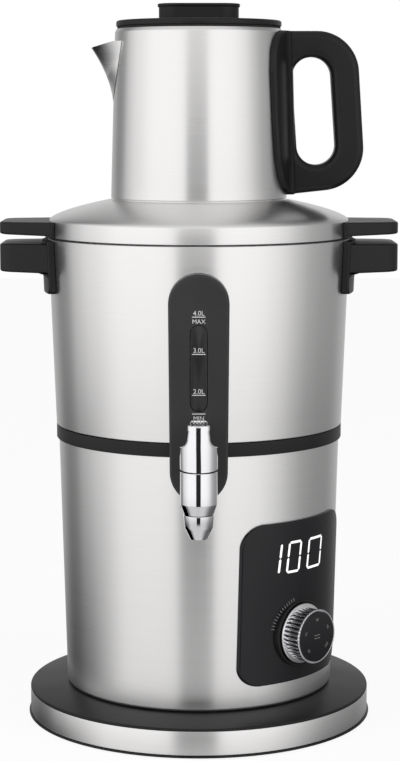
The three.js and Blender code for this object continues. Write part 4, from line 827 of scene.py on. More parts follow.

# %% [markdown]
# ## The tank lid
#
# The lid has an upright band, a shallow dome that runs up to the flat where the teapot
# stands, and a steam hole with a collar. A curve gives the dome's bow. Under the lid a
# skirt keeps it in the tank's mouth. A thin black rubber seal under the band fills the gap
# to the tank, and its black also paints the shade of that gap as a dark line.

# %% Lid
def bow(start, pull, end, count=14):
    """Points on a curve that leaves start towards pull and arrives at end from it."""
    points = []
    for number in range(count + 1):
        share = number / count
        rest = 1 - share
        points.append(tuple(
            rest * rest * a + 2 * rest * share * b + share * share * c
            for a, b, c in zip(start, pull, end)))
    return points


lid_low = tank_rim[1] + 0.8
lid_band = (112.2, lid_low)
lid_shoulder = (111.6, lid_low + 12.2)
lid_seat = lid_low + 27.5
steam_radius = 35.2
collar_out, collar_top = steam_radius + 1, high("tank_lid").z
skirt_out, skirt_in = 109.6, 109.6 - sheet
skirt_low = low("tank_lid").z
gasket_low, gasket_top = tank_rim[1] + seat_gap, lid_low + 0.5
dome = bow(
    (lid_shoulder[0] - 0.4, lid_shoulder[1] + 1.2), (104, lid_low + 19.8), (66.5, lid_seat))
under_dome = [(radius - sheet, height - sheet) for radius, height in dome[1:]]
lid_body = spun([
    (lid_band[0], gasket_top, 0.3), (*lid_shoulder, 0.8), *dome, (collar_out, lid_seat, 0.8),
    (collar_out, collar_top, 0.4), (steam_radius, collar_top, 0.4),
    (steam_radius, lid_seat - sheet), *reversed(under_dome), (skirt_in, lid_shoulder[1] - sheet),
    (skirt_in, skirt_low), (skirt_out, skirt_low), (skirt_out, gasket_top),
])
hand_over("steel_tank_lid", lid_body, "tank_lid", "brushed_steel", ["tank_lid"], crease=40)
# A black rubber seal in the gap under the band; its black also paints the gap's shade as a dark
# line
lid_seal_and_shade_line = spun([
    (skirt_out + seat_gap, gasket_low), (lid_band[0] - 0.5, gasket_low, 0.2),
    (lid_band[0] - 0.5, gasket_top - seat_gap, 0.2), (skirt_out + seat_gap, gasket_top - seat_gap),
])
hand_over("lid_seal_and_shade_line", lid_seal_and_shade_line, "tank_lid", "rubber")

# %% [markdown]
# ## Plates that hug a wall
#
# The wall plates of the grips, the teapot's saddle and the control panel all follow a
# tapered wall. Each starts as a flat outline, is sliced into narrow strips so that it can
# bend, gets its thickness and soft rim while it is flat, and is then wrapped round.

# %% A plate bent round a tapered wall
off_centre = 0.013        # keeps the slices away from corners that lie on whole millimetres


def sliced(bm, place, way):
    """Cuts all faces along a plane, without parting them."""
    bmesh.ops.bisect_plane(
        bm, geom=bm.verts[:] + bm.edges[:] + bm.faces[:], plane_co=place, plane_no=way)


def hugging(corners, thick, edge, wall, strip=4.0, steps=3, swell=None):
    """A plate over (across, height, rounding) corners, with its outer side at +X.

    wall gives the wall's radius at a height, and swell what is added to the thickness at a
    distance from the plate's middle.
    """
    bm = outline([(0, corner[0], corner[1]) for corner in corners], corners)
    reach = max(abs(vert.co.y) for vert in bm.verts)
    slice_at = -strip * math.floor(reach / strip)
    while slice_at < reach:
        sliced(bm, (0, slice_at + off_centre, 0), (0, 1, 0))
        slice_at += strip
    thicken(bm, (thick, 0, 0))
    front_rim = [
        item for item in bm.edges
        if min(vert.co.x for vert in item.verts) > thick / 2 and item.calc_face_angle(0) > sharp
    ]
    bevel(bm, front_rim, edge, steps)
    for vert in bm.verts:
        if swell:
            vert.co.x += swell(abs(vert.co.y)) * max(vert.co.x, 0) / thick
        radius = wall(vert.co.z) + seat_gap + vert.co.x
        vert.co.x = math.sqrt(radius ** 2 - vert.co.y ** 2)
    return tidy(bm)


def cone_solid(wall, start, end, grow=seat_gap):
    """A solid that fills a tapered wall between two heights, grown by an amount."""
    return spun([(0, start), (wall(start) + grow, start), (wall(end) + grow, end), (0, end)])


# %% [markdown]
# ## The side grips
#
# Each side has a thick grip on the tank and a thinner one on the lid, one above the other
# with a slit between them. They share one plan: wider at the root, with round front
# corners. The underside climbs a little towards the tip. Every grip ends on a wall plate,
# and the tank's plate runs on down as a short leg.

# %% Grip slabs
grip_reach = high("tank_handle_right").x
grip_root = 86.2
grip_plan = [(grip_root, -42), (grip_reach, -28.9, 12), (grip_reach, 28.9, 12), (grip_root, 42)]
pad_half = 38.4
tank_pad_top = tank_rim[1] - 1
tank_pad = rectangle(pad_half, tank_pad_top - 39, tank_pad_top, 6, 1)
lid_pad_top = lid_shoulder[1] - 0.2
lid_pad = rectangle(pad_half, lid_low, lid_pad_top, 1, 2)


def grip_slab(top, depth, root_drop):
    """A slab of the grip's plan whose underside rises from the root to the tip."""
    bm = plate(grip_plan, top - depth - root_drop, top, edge=1.6, steps=4)
    climb = root_drop / (grip_reach - grip_root)
    for vert in bm.verts:
        if vert.co.z < top - depth / 2:
            vert.co.z += climb * (vert.co.x - grip_root)
    return bm


def lid_wall(height):
    """The outer radius of the lid's upright band."""
    return taper(lid_band, lid_shoulder, height)


def under_grip(height, wide=5):
    """A hollow round that eases the grip's underside into its leg."""
    leg_face = tank_radius(height) + seat_gap + 4.4
    curve = bow((leg_face + wide, height), (leg_face, height), (leg_face, height - wide), 8)
    ring = spun([(95, height), *curve, (95, height - wide)])
    half = pad_half - 0.8
    return combined("INTERSECT", ring, box((60, -half, height - 20), (160, half, height + 20)))


# %% Grips on both sides
for side, angle in (("right", 0), ("left", 180)):
    slab = grip_slab(tank_rim[1] - 3.2, depth=20.6, root_drop=1.5)
    slab = join(slab, under_grip(tank_rim[1] - 25))
    slab = cut(slab, cone_solid(tank_radius, 300, 380))
    pad = hugging(tank_pad, thick=4.6, edge=1, wall=tank_radius)
    grip = moved(join(slab, pad), rotation(angle, "Z"))
    hand_over(
        f"tank_grip_{side}", grip, "base", "black_plastic", [f"tank_handle_{side}"],
        flat_faces=True)
    slab = grip_slab(lid_pad_top, depth=9, root_drop=2)
    slab = cut(slab, cone_solid(lid_wall, lid_low - 8, lid_shoulder[1] + 8))
    pad = hugging(lid_pad, thick=2.4, edge=0.7, wall=lid_wall)
    grip = moved(join(slab, pad), rotation(angle, "Z"))
    hand_over(
        f"lid_grip_{side}", grip, "tank_lid", "black_plastic", [f"lid_handle_{side}"],
        flat_faces=True)

# %% [markdown]
# ## The level gauge
#
# A long fascia with round ends leans with the housing. A window with a sight tube behind
# it shows the water, and the litre marks are printed beside and over it. The fascia is a
# plate with a wide soft rim, hollow behind. Everything on it is drawn flat and then laid
# on the slope by one pair of matrices.

# %% Fascia
gauge_half = high("gauge_panel").x
gauge_low, gauge_high = 182.9, 344.7     # of its straight back edge above the floor
gauge_foot = shell_radius(gauge_low)
lean = math.atan2(tank_radius(gauge_high) - gauge_foot, gauge_high - gauge_low)
gauge_length = (gauge_high - gauge_low) / math.cos(lean)
gauge_proud = 11.2
narrowing = 0.06       # how much slimmer the fascia is at its foot
lens_half = 6
lens_low = (248.4 - gauge_low) / math.cos(lean)
lens_high = lens_low + 60.9
round_end = 0.999      # an end that is not quite a half circle keeps its two corners apart
on_gauge = rotation(90 + math.degrees(lean), "X"), shift(y=-gauge_foot, z=gauge_low)


def long_round(half, start, end):
    """The outline of a slot with round ends, upright in plan."""
    return rectangle(half, start, end, half * round_end, half * round_end)


body_behind = spun([
    (0, shell_low), (shell_foot[0] + seat_gap, shell_low),
    (shell_rim[0] + seat_gap, joint_low - 0.6), (joint_radius + seat_gap, joint_low - 0.3),
    (joint_radius + seat_gap, joint_high), (tank_rim[0] + seat_gap, tank_rim[1]),
    (0, tank_rim[1]),
])
fascia = plate(
    long_round(gauge_half, 0, gauge_length), -2, gauge_proud, edge=1.8, steps=5, both=False)
for vert in fascia.verts:
    vert.co.x *= 1 - narrowing * (1 - vert.co.y / gauge_length)
hollow = plate(long_round(13, 44, gauge_length - 8.6), -12, gauge_proud - 1.8)
lens_room = plate(
    long_round(lens_half + seat_gap, lens_low - seat_gap, lens_high + seat_gap), 2, 20)
fascia = moved(cut(fascia, hollow, lens_room), *on_gauge)
fascia = cut(fascia, body_behind, bore(shank_radius + seat_gap, 90, 140, 0, shank_height))
hand_over(
    "gauge_fascia", fascia, "base", "black_plastic", ["gauge_panel"], "gauge_black",
    flat_faces=True)

# %% Window
lens_back, lens_front = 8.3, gauge_proud - 0.5
lens = plate(long_round(lens_half, lens_low, lens_high), lens_back, lens_front, 0.4, both=False)
hand_over("gauge_lens", moved(lens, *on_gauge), "base", "smoked_lens", ["gauge_window"])

# %% [markdown]
# ## Printed marks
#
# The marks are white ink, so they are thin shapes a hair above the surface. Letters are
# made from a text object, which is turned into a mesh before it is placed. The bars are
# small plates.

# %% Ink
ink = 0.06            # how thick the print is, and how far it stands off
cap_share = 0.7       # the height of a capital in a letter of size 1


def lettering(words, cap_height, y, z):
    """Flat letters as a mesh, centred across x, with their feet at y."""
    curve = bpy.data.curves.new("letters", "FONT")
    curve.body = words
    curve.align_x = "CENTER"
    curve.size = cap_height / cap_share
    curve.extrude = ink / 2
    curve.resolution_u = 4
    holder = new_object("letters", curve)
    bpy.context.view_layer.update()
    graph = bpy.context.evaluated_depsgraph_get()
    mesh = bpy.data.meshes.new_from_object(holder.evaluated_get(graph))
    bm = bmesh.new()
    bm.from_mesh(mesh)
    bpy.data.objects.remove(holder)
    bpy.data.curves.remove(curve)
    bpy.data.meshes.remove(mesh)
    return moved(bm, shift(0, y, z + ink))


def printed_bar(half, y, thick, surface):
    """A bar of print across x, in the middle of the height y."""
    return box(
        (-half, y - thick / 2, surface + ink / 2), (half, y + thick / 2, surface + ink * 1.5))


# %% Litre marks
bar_half = 4.7
bar_thick = 0.6
cap = 3.3
marks = [
    # words over the bar, words under it, height of the bar above the floor, its surface
    ("4.0L", "MAX", 315.1, gauge_proud),
    ("3.0L", "", 288.9, lens_front),
    ("2.0L", "", 260.0, lens_front),
    ("", "MIN", 246.8, gauge_proud),
]
prints = []
for over, under, height, surface in marks:
    along = (height - gauge_low) / math.cos(lean)
    prints.append(printed_bar(bar_half, along, bar_thick, surface))
    if over:
        prints.append(lettering(over, cap, along + 1.1, surface))
    if under:
        prints.append(lettering(under, cap * 0.92, along - 1.3 - cap, surface))
hand_over(
    "gauge_marks", moved(merged(prints), *on_gauge), "base", "part_white", look="print_white")

# %% [markdown]
# ## The tap
#
# The tap is plated brass on its own upright axis: a body with a valve chamber, a nozzle
# screwed into its foot and a flange against the gauge. The lever is a cap that rocks on a
# pin and lifts the valve's stem. Its skirt sweeps in to a narrow neck and widens again to
# a ribbed thumb pad. Body, nozzle and flange are spun, and the pipe is fused to the body.

# %% Tap body, nozzle and flange
to_tap = shift(y=-tap_axis)
along_pipe = rotation(-90, "X"), shift(z=shank_height)
valve_foot = high("tap_nozzle").z - 3.7
seat_low, seat_high = valve_foot + 6.6, valve_foot + 7.6     # of the valve's seat
body_low, body_top = valve_foot + 3.6, 209.4
body_radius = high("tap_body").x
waist = 10.7
mouth, chamber, seat_hole, thread = 10.3, 8.5, 3.4, 6.8      # radii inside the body
mouth_low = body_top - 6.9
pipe_start, pipe_end, passage_radius = 11.5, 71, 4
body = spun([
    (thread, body_low), (waist, body_low, 0.3), (body_radius, body_low + 6.8, 5),
    (body_radius, body_top, 0.4), (mouth, body_top), (mouth, mouth_low), (chamber, mouth_low),
    (chamber, seat_high), (seat_hole, seat_high), (seat_hole, seat_low), (thread, seat_low),
], steps=96)
pipe = moved(rod(shank_radius, pipe_start, pipe_end), *along_pipe)
passage = moved(rod(passage_radius, 0, pipe_end + 7), *along_pipe)
body = cut(join(body, pipe), passage)
hand_over("tap_barrel", moved(body, to_tap), "base", "chrome", ["tap_body"])

nozzle_low, nozzle_high = low("tap_nozzle").z + 1.6, valve_foot + 6.4
nozzle_in, nozzle_thread = 4.6, 6.5
nozzle = spun([
    (nozzle_in, nozzle_low), (6.2, nozzle_low, 0.5), (10.1, nozzle_low + 8.2, 5),
    (10.9, body_low - seat_gap, 0.5), (nozzle_thread, body_low - seat_gap),
    (nozzle_thread, nozzle_high), (nozzle_in, nozzle_high),
], steps=96)
hand_over("tap_spout", moved(nozzle, to_tap), "base", "chrome", ["tap_nozzle"])

flange_near, flange_far = body_radius + seat_gap, tap_axis + high("tap_flange").y
flange_in, flange_out = shank_radius + seat_gap, 11.5
flange = spun([
    (flange_in, flange_near), (flange_out, flange_near, 1.2), (flange_out, flange_far),
    (flange_in, flange_far),
], steps=96)
hand_over("tap_rose", moved(flange, *along_pipe, to_tap), "base", "chrome", ["tap_flange"])

# %% [markdown]
# ## The tap lever
#
# The lever is one casting. Its front runs straight up from the skirt to the thumb pad,
# while its sides and back sweep in to a neck. So it is a skin over level rings: each ring
# is a circle in front that is clipped at the sides, and a squared-off round behind. Then
# it is hollowed, the ribs are cut into the pad, and the underside is cut slanting so that
# the back can dip.

# %% Rings and a skin over them
lever_base = body_top + 0.7
lever_radius = high("tap_lever").x - 0.05
square = 0.62             # a power that squares off the back of neck and pad
wide_open = 40            # a side so far out that it clips nothing


def lever_ring(height, side, back, front=lever_radius, squareness=square, steps=48, clip=22):
    """One level ring: a round front clipped softly at the sides, and a squared-off back."""
    points = []
    for number in range(steps + 1):
        angle = math.radians(-90 + 180 * number / steps)
        limit = side / max(abs(math.sin(angle)), 0.05)
        reach = (front ** -clip + limit ** -clip) ** (-1 / clip)
        points.append((reach * math.sin(angle), -reach * math.cos(angle), height))
    half = points[-1][0]
    for number in range(1, steps // 2):
        angle = math.tau * number / steps
        across = math.copysign(abs(math.cos(angle)) ** squareness, math.cos(angle))
        points.append((half * across, back * math.sin(angle) ** squareness, height))
    return points


def skin(rings):
    """A closed skin over rings that all have the same number of points."""
    bm = bmesh.new()
    levels = [[bm.verts.new(point) for point in ring] for ring in rings]
    for under, over in zip(levels, levels[1:]):
        for number in range(len(under)):
            bm.faces.new((under[number - 1], under[number], over[number], over[number - 1]))
    bm.faces.new(levels[0])
    bm.faces.new(levels[-1])
    bmesh.ops.recalc_face_normals(bm, faces=bm.faces)
    return bm


def eased(start, end, share):
    """A smooth change from one value to another."""
    return start + (end - start) * share * share * (3 - 2 * share)


# %% Lever
shoulder = body_top + 17
neck_top = shoulder + 6.8
thumb_top = high("tap_lever").z - 1
neck_half, neck_back = 7.9, 8.2
thumb_half, thumb_back = 7.3, 11.4
rings = [
    lever_ring(lever_base - 2, wide_open, lever_radius - 0.2, lever_radius - 0.2, 1),
    lever_ring(shoulder, wide_open, lever_radius, squareness=1),
]
sweep = 14                # rings from the shoulder to the neck
sides = bow((14.5, shoulder), (8.3, shoulder + 0.9), (neck_half, neck_top), sweep)
backs = bow((lever_radius, shoulder), (8.3, shoulder + 0.6), (neck_back, neck_top), sweep)
for number, ((side, height), (back, _)) in enumerate(zip(sides, backs)):
    rings.append(lever_ring(
        height + 0.02, side, back, squareness=eased(1, square, number / sweep)))
lip_low = thumb_top - 4.6
for number in range(1, 9):
    share = number / 8
    rings.append(lever_ring(
        neck_top + (lip_low - neck_top) * share, neck_half + (thumb_half - neck_half) * share,
        eased(neck_back, thumb_back, share)))
lip_out = 0.35
for degrees in (0, 30, 60, 90):
    angle = math.radians(degrees)
    out = lip_out * math.sin(angle)
    height = lip_low + 0.1 + 0.5 * (1 - math.cos(angle))
    rings.append(lever_ring(height, thumb_half + out, thumb_back + out))
rim_round = 1.1
for degrees in (0, 22, 45, 67, 90):
    angle = math.radians(degrees)
    inset = rim_round * (1 - math.cos(angle))
    rings.append(lever_ring(
        thumb_top - rim_round * (1 - math.sin(angle)), thumb_half + lip_out - inset,
        thumb_back + lip_out - inset, lever_radius - inset))
hollow_out, hollow_low, hollow_top = 11.7, lever_base - 6, lever_base + 12.7
hollow_skirt = spun([
    (0, hollow_low), (hollow_out, hollow_low), (hollow_out, hollow_top, 1), (0, hollow_top),
], steps=96)
groove_count = 5
pitch = 2 * thumb_half / (groove_count + 1)
groove_round = 1.2
grooves = [
    moved(
        rod(groove_round, -thumb_back + 1.4, lever_radius + overrun, 24), rotation(90, "X"),
        shift(x=-thumb_half + (number + 1) * pitch, z=thumb_top + groove_round - 0.55))
    for number in range(groove_count)
]
rear_rise = 2.4
slant_cut = moved(
    box((-30, -30, -15), (30, 60, 0)),
    rotation(math.degrees(math.atan2(rear_rise, 2 * lever_radius)), "X"),
    shift(y=-lever_radius, z=lever_base))
lever = moved(cut(skin(rings), hollow_skirt, slant_cut, *grooves), to_tap)
hand_over("tap_thumb_lever", lever, "tap_lever", "chrome", ["tap_lever"], crease=40)

# %% [markdown]
# ## The tap's spring
#
# The spring sits round the stem, between its disc and the bonnet. It is one wire, spun
# round the tap's axis with a small lift at each step. In the tap, its top stays with the
# bonnet and its foot goes up with the stem, so that it is squeezed as the tap opens; here
# it keeps the place where it is made and is not put on a body.

# %% Spring
wire_radius = 0.6
coil_radius = 4.4
coil_turns = 5
coil_low, coil_high = low("tap_spring").z + wire_radius, high("tap_spring").z - wire_radius
coil_steps = 24 * coil_turns
wire = bmesh.new()
bmesh.ops.create_circle(wire, segments=10, radius=wire_radius)
moved(wire, rotation(90, "X"), shift(x=coil_radius, z=coil_low))
bmesh.ops.spin(
    wire, geom=wire.verts[:] + wire.edges[:], cent=(0, 0, 0), axis=(0, 0, 1), steps=coil_steps,
    angle=math.tau * coil_turns, dvec=(0, 0, (coil_high - coil_low) / coil_steps))
bmesh.ops.holes_fill(wire, edges=wire.edges[:], sides=0)
bmesh.ops.recalc_face_normals(wire, faces=wire.faces)
coil_top, coil_foot = (Vector((0, -tap_axis, height)) * MM for height in (coil_high, coil_low))
hand_over(
    "tap_coil_spring", moved(wire, to_tap), "base", "zinc_steel", ["tap_spring"],
    bend=("tap_stem", coil_top, coil_foot))

# %% [markdown]
# ## The control panel
#
# The panel is a large glossy cover that hugs the shell a little to the right of the tap.
# It is the biggest plate of its kind, so its strips are narrow to keep the gloss smooth.
# The hole for the dial's shaft and a shallow recess, which lets the dial be pressed, run
# along the dial's own direction. The digits are bars of light behind the cover, drawn as
# seven-segment figures and set a hair proud. They are sliced every millimetre, so that
# they bend with the cover.

# %% Panel cover
dial_azimuth, dial_height = 45.3, 78
dial_face, dial_length = 120.5, 15.7
dial_back = dial_face - dial_length
press = 0.7                 # how far the dial goes in
shaft_hole_radius, dial_room_radius = 4.7, 22.7
panel_left, panel_right = -56.4, 50.8
panel_low, panel_high = 42.9, 162.5
panel_thick = 2
panel_proud = seat_gap + panel_thick      # of its face over the shell
panel_outline = [
    (panel_left, panel_low, 15), (panel_right, panel_low, 15), (panel_right, panel_high, 15),
    (panel_left, panel_high, 17)]
cover = hugging(panel_outline, panel_thick, edge=1.1, wall=shell_radius, strip=2.0, steps=4)
cover = moved(cover, rotation(panel_azimuth - 90, "Z"))
shaft_hole = bore(shaft_hole_radius, 60, 120, dial_azimuth, dial_height)
dial_room = bore(dial_room_radius, dial_back - press - 0.3, 130, dial_azimuth, dial_height, 96)
cover = cut(cover, shaft_hole, dial_room)
board_face = 89.9            # of the control board, from the samovar's axis
post_radius, post_aside = 2.6, 30


def panel_post(side, up):
    """A round post from the cover's back to the control board."""
    reach = math.sqrt(shell_radius(panel_low + up) ** 2 - post_aside ** 2) + 1
    return moved(
        rod(post_radius, board_face, reach, 24), shift(x=side * post_aside, y=up),
        *outwards(dial_azimuth, panel_low))


posts = [panel_post(side, up) for up in (22, 97.6) for side in (-1, 1)]
hand_over(
    "glossy_panel", join(cover, *posts), "base", "gloss_black", ["control_panel"],
    flat_faces=True)

# %% Digits
bar = 1.75
bar_gap = 0.22
slant = math.tan(math.radians(6))
display_height = 136.2
figures = [
    # which bars glow, left edge, width and height
    ("bc", -40.2, 13, 23.4),
    ("abcdef", -21.8, 13.1, 23.4),
    ("abcdef", -1.2, 17.6, 23),
]


def segment(x0, y0, x1, y1):
    """One bar of light with pointed ends. Its corners that coincide are welded."""
    half = bar / 2
    corners = [
        (x0 + half, y0), (x1 - half, y0), (x1, y0 + half), (x1, y1 - half), (x1 - half, y1),
        (x0 + half, y1), (x0, y1 - half), (x0, y0 + half)]
    return plate(corners, 0, ink)


def figure(bars, left, width, height):
    """A seven-segment figure with its middle at height zero."""
    top, foot, inset = height / 2, -height / 2, bar_gap + bar / 2
    places = {
        "a": (inset, top - bar, width - inset, top),
        "b": (width - bar, bar_gap, width, top - inset),
        "c": (width - bar, foot + inset, width, -bar_gap),
        "d": (inset, foot, width - inset, foot + bar),
        "e": (0, foot + inset, bar, -bar_gap),
        "f": (0, bar_gap, bar, top - inset),
    }
    return moved(merged(segment(*places[name]) for name in bars), shift(x=left))


def on_cover(bm, azimuth, height):
    """Bends a flat print round the panel's cover, with its origin at a height."""
    for vert in bm.verts:
        radius = shell_radius(height + vert.co.y) + panel_proud + ink / 2 + vert.co.z
        vert.co.z = math.sqrt(radius ** 2 - vert.co.x ** 2)
    return moved(bm, *outwards(azimuth, height))


digits = merged(figure(*values) for values in figures)
for across in range(-44, 24):
    sliced(digits, (across, 0, 0), (1, 0, 0))
for vert in digits.verts:
    vert.co.x += slant * vert.co.y
digits = on_cover(digits, panel_azimuth, display_height)
hand_over("display_digits", digits, "base", "part_white", look="display_light")

# %% [markdown]
# ## The dial
#
# The dial is a plated barrel with round ribs, a wider ring at the back and a scalloped
# rim at the front. A gloss black cap with small numbers closes it. The ribs are round bars
# fused to the barrel, and a thin black sheet laid between them paints the shade in the
# gaps. A few grey ticks stand on the panel beside it.

# %% Bezel and knob
on_panel = outwards(dial_azimuth, dial_height)
panel_face = shell_radius(dial_height) + panel_proud
bezel_in, bezel_lip, bezel_out = 15, 22.8, 24.6
bezel_foot, bezel_low, bezel_top = 70, panel_face - 0.2, panel_face + 1.2
bezel = spun([
    (bezel_in, bezel_foot), (bezel_out, bezel_foot), (bezel_out, bezel_top, 0.7),
    (bezel_lip, bezel_top, 0.4), (bezel_lip, bezel_low), (bezel_in, bezel_low),
], steps=96)
behind = cone_solid(shell_radius, shell_low, shell_rim[1], panel_proud + seat_gap)
bezel = cut(moved(bezel, *on_panel), behind)
hand_over("dial_ring", bezel, "base", "black_plastic", ["dial_bezel"])

barrel_radius = 19.3
rim_radius, rim_low = 19.8, dial_face - 1.4
back_radius = 22.2
rib_count, rib_radius = 36, 0.95
floor_radius, floor_low = barrel_radius - 1.25, dial_back + 3
cap_room, cap_seat = 18.6, dial_face - 1.6
shaft_room, inside_top, barrel_in = 3.3, dial_face - 4, 13
barrel = spun([
    (barrel_in, dial_back), (back_radius, dial_back, 0.7), (back_radius, dial_back + 2.6, 0.9),
    (barrel_radius + 0.2, floor_low, 0.3), (floor_radius, floor_low),
    (floor_radius, rim_low - 0.1), (rim_radius, rim_low, 0.2), (rim_radius, dial_face, 0.5),
    (cap_room, dial_face, 0.2), (cap_room, cap_seat), (shaft_room, cap_seat),
    (shaft_room, inside_top), (barrel_in, inside_top),
])


def ribs(grow):
    """Round bars side by side round the barrel."""
    return merged(ring_of(rib_count, lambda: moved(
        rod(rib_radius + grow, dial_back + 2.2, rim_low + 0.4, 16),
        shift(x=barrel_radius - rib_radius))))


scallops = merged(ring_of(48, lambda: moved(
    rod(0.9, dial_face - 0.6, dial_face + 1, 12), shift(x=rim_radius + 0.35))))
knob = moved(cut(join(barrel, ribs(0)), scallops), *on_panel)
hand_over("dial_barrel", knob, "dial", "chrome", ["dial_knob"])

# %% Painted shade between the ribs
# A thin gloss black sheet over the barrel's chrome floor paints the shade in the gaps between the
# ribs
shade_sheet_in, shade_sheet_out = floor_radius + 0.05, floor_radius + 0.3
shade_sheet_low, shade_sheet_top = floor_low + 0.1, rim_low - 0.2
shade_sheet = spun([(shade_sheet_in, shade_sheet_low), (shade_sheet_out, shade_sheet_low), (shade_sheet_out, shade_sheet_top), (shade_sheet_in, shade_sheet_top)])
hand_over("dial_painted_shade", moved(cut(shade_sheet, ribs(0.03)), *on_panel), "dial", "gloss_black")

# %% Cap and its print
cap_radius, cap_back, cap_front = 18.3, dial_face - 1.3, dial_face + 0.3
cap_disc = spun([
    (0, cap_back), (cap_radius, cap_back), (cap_radius, cap_front, 0.5), (0, cap_front),
], steps=96)
hand_over("dial_face", moved(cap_disc, *on_panel), "dial", "gloss_black", ["dial_cap"])

label_radius, label_cap = 12.6, 2.1
labels = []
for label, degrees in (("80", 90), ("90", 26), ("100", -38), ("60", 226), ("70", 162)):
    upright = degrees - 90 if 0 < degrees < 200 else degrees + 90
    angle = math.radians(degrees)
    labels.append(moved(
        lettering(label, label_cap, -label_cap / 2, cap_front), rotation(upright, "Z"),
        shift(label_radius * math.cos(angle), label_radius * math.sin(angle))))
for place in (-1.1, 1.1):
    labels.append(printed_bar(3, place, 0.5, cap_front))
labels = moved(merged(labels), *on_panel)
hand_over("dial_print", labels, "dial", "part_white", look="print_grey")

# %% Grey ticks on the panel beside the dial
tick_in, tick_out, tick_half = 25.6, 28.2, 0.3
first_tick, tick_step = 106, 5            # degrees
ticks = merged(
    moved(
        box((tick_in, -tick_half, 0), (tick_out, tick_half, ink)),
        rotation(first_tick + number * tick_step, "Z"))
    for number in range(13))
ticks = on_cover(ticks, dial_azimuth, dial_height)
hand_over("panel_ticks", ticks, "base", "part_white", look="print_grey")

# %% [markdown]
# ## Where the cord goes in
#
# A bushed hole at the back of the lower shell takes the mains cord. The gland is a turned
# piece with a flange outside and one inside, and it points backwards.

# %% Cord gland
gland_in, gland_out = low("cord_gland").y, high("cord_gland").y
gland_wall = shell_radius(gland_height)
wall_in, wall_out = gland_wall - sheet - 0.5, gland_wall + 0.7     # the shell lies between
cord_hole, flanges = 3.6, 9                                        # radii
gland = spun([
    (cord_hole, gland_in, 0.3), (flanges, gland_in, 0.3), (flanges, wall_in),
    (gland_neck, wall_in), (gland_neck, wall_out), (flanges, wall_out),
    (flanges, gland_out, 0.8), (cord_hole, gland_out, 0.8),
], steps=48)
gland = moved(gland, *outwards(180, gland_height))
hand_over("cord_bushing", gland, "base", "black_plastic", ["cord_gland"])

# %% [markdown]
# ## The teapot
#
# The teapot is a drawn steel vessel with a short inward shoulder under its mouth. Its
# hollow foot stands back a little and shows as a dark line. Rows of small holes behind the
# spout hold back the leaves.

# %% Vessel
pot_low, pot_high = low("teapot_vessel").z, high("teapot_vessel").z
pot_foot = (high("teapot_vessel").x, pot_low)
pot_shoulder = (61.9, pot_high - 2.6)
pot_floor = pot_low + 6.4
ring_in, ring_out, ring_top = pot_foot[0] - 5, pot_foot[0] - 1.5, pot_low + 1.2
mouth_radius = 60.6


def pot_radius(height):
    """The outer radius of the teapot's wall."""
    return taper(pot_foot, (61.8, pot_high), height)


vessel = spun([
    (0, pot_floor), (ring_in - 1, pot_floor, 0.8), (ring_in, pot_low, 0.4),
    (ring_out, pot_low, 0.2), (ring_out, ring_top, 0.2), (pot_foot[0], pot_low + 1.4, 0.5),
    (*pot_shoulder, 1.6), (mouth_radius, pot_high, 0.45), (mouth_radius - sheet, pot_high, 0.45),
    (pot_shoulder[0] - sheet - 0.2, pot_shoulder[1] - 0.6, 1.2),
    (pot_foot[0] - sheet - 0.3, pot_floor + sheet, 2.5), (0, pot_floor + sheet),
])
spout_top = 506.6
hole_radius, hole_pitch, hole_rows = 1.9, 6.4, 4
holes = []
for row in range(hole_rows):
    height = spout_top - hole_pitch * (row + 1.4)
    for number in range(hole_rows - row):
        across = (number - (hole_rows - 1 - row) / 2) * hole_pitch
        aside = math.degrees(across / pot_radius(height))
        holes.append(bore(hole_radius, 40, 80, -90 + aside, height, 24))
hand_over("teapot_pot", cut(vessel, *holes), "teapot", "brushed_steel", ["teapot_vessel"])

# %% [markdown]
# ## The spout
#
# The spout is a short beak. Seen from above it is a V with a round nose that leaves the
# wall on both sides, and it shrinks downwards until it meets the wall. Each level is a
# line of points that the next level is bridged to. The inner skin is the same beak, a
# wall's thickness smaller, cut out of the outer one.

# %% Beak
spout_height = 48
spout_reach = 20.6           # at the top, before the slanting cut takes the point off
spout_spread = 26            # degrees to each side, at the top
bluntness = 0.1              # of the nose
hollowness = 1.77            # a power that bows the beak's front line inwards
smallest = 0.04              # the share of the spread at the beak's foot


def beak(inset, levels=28, steps=20):
    """The beak's solid, made smaller all round by inset."""
    bm = bmesh.new()
    rings = []
    for number in range(levels + 1):
        share = smallest + (1 - smallest) * number / levels
        height = spout_top - spout_height * (1 - share)
        wall = pot_radius(height)
        half = math.radians(spout_spread) * math.sqrt(share) - inset / wall
        height += overrun * (inset > 0 and number == levels)
        line = [(-wall / 2, -wall / 2 * math.sin(half))]
        for step in range(-steps, steps + 1):
            aside = step / steps
            fall = math.hypot(aside, bluntness) - bluntness
            fall /= math.hypot(1, bluntness) - bluntness
            radius = wall + spout_reach * share ** hollowness * (1 - fall) - inset
            line.append((-radius * math.cos(half * aside), radius * math.sin(half * aside)))
        line.append((-wall / 2, wall / 2 * math.sin(half)))
        verts = [bm.verts.new((x, y, height)) for x, y in line]
        rings.append([bm.edges.new(pair) for pair in zip(verts, verts[1:] + verts[:1])])
    for under, over in zip(rings, rings[1:]):
        bmesh.ops.bridge_loops(bm, edges=under + over)
    bmesh.ops.holes_fill(bm, edges=bm.edges[:], sides=0)
    bmesh.ops.recalc_face_normals(bm, faces=bm.faces)
    return bm


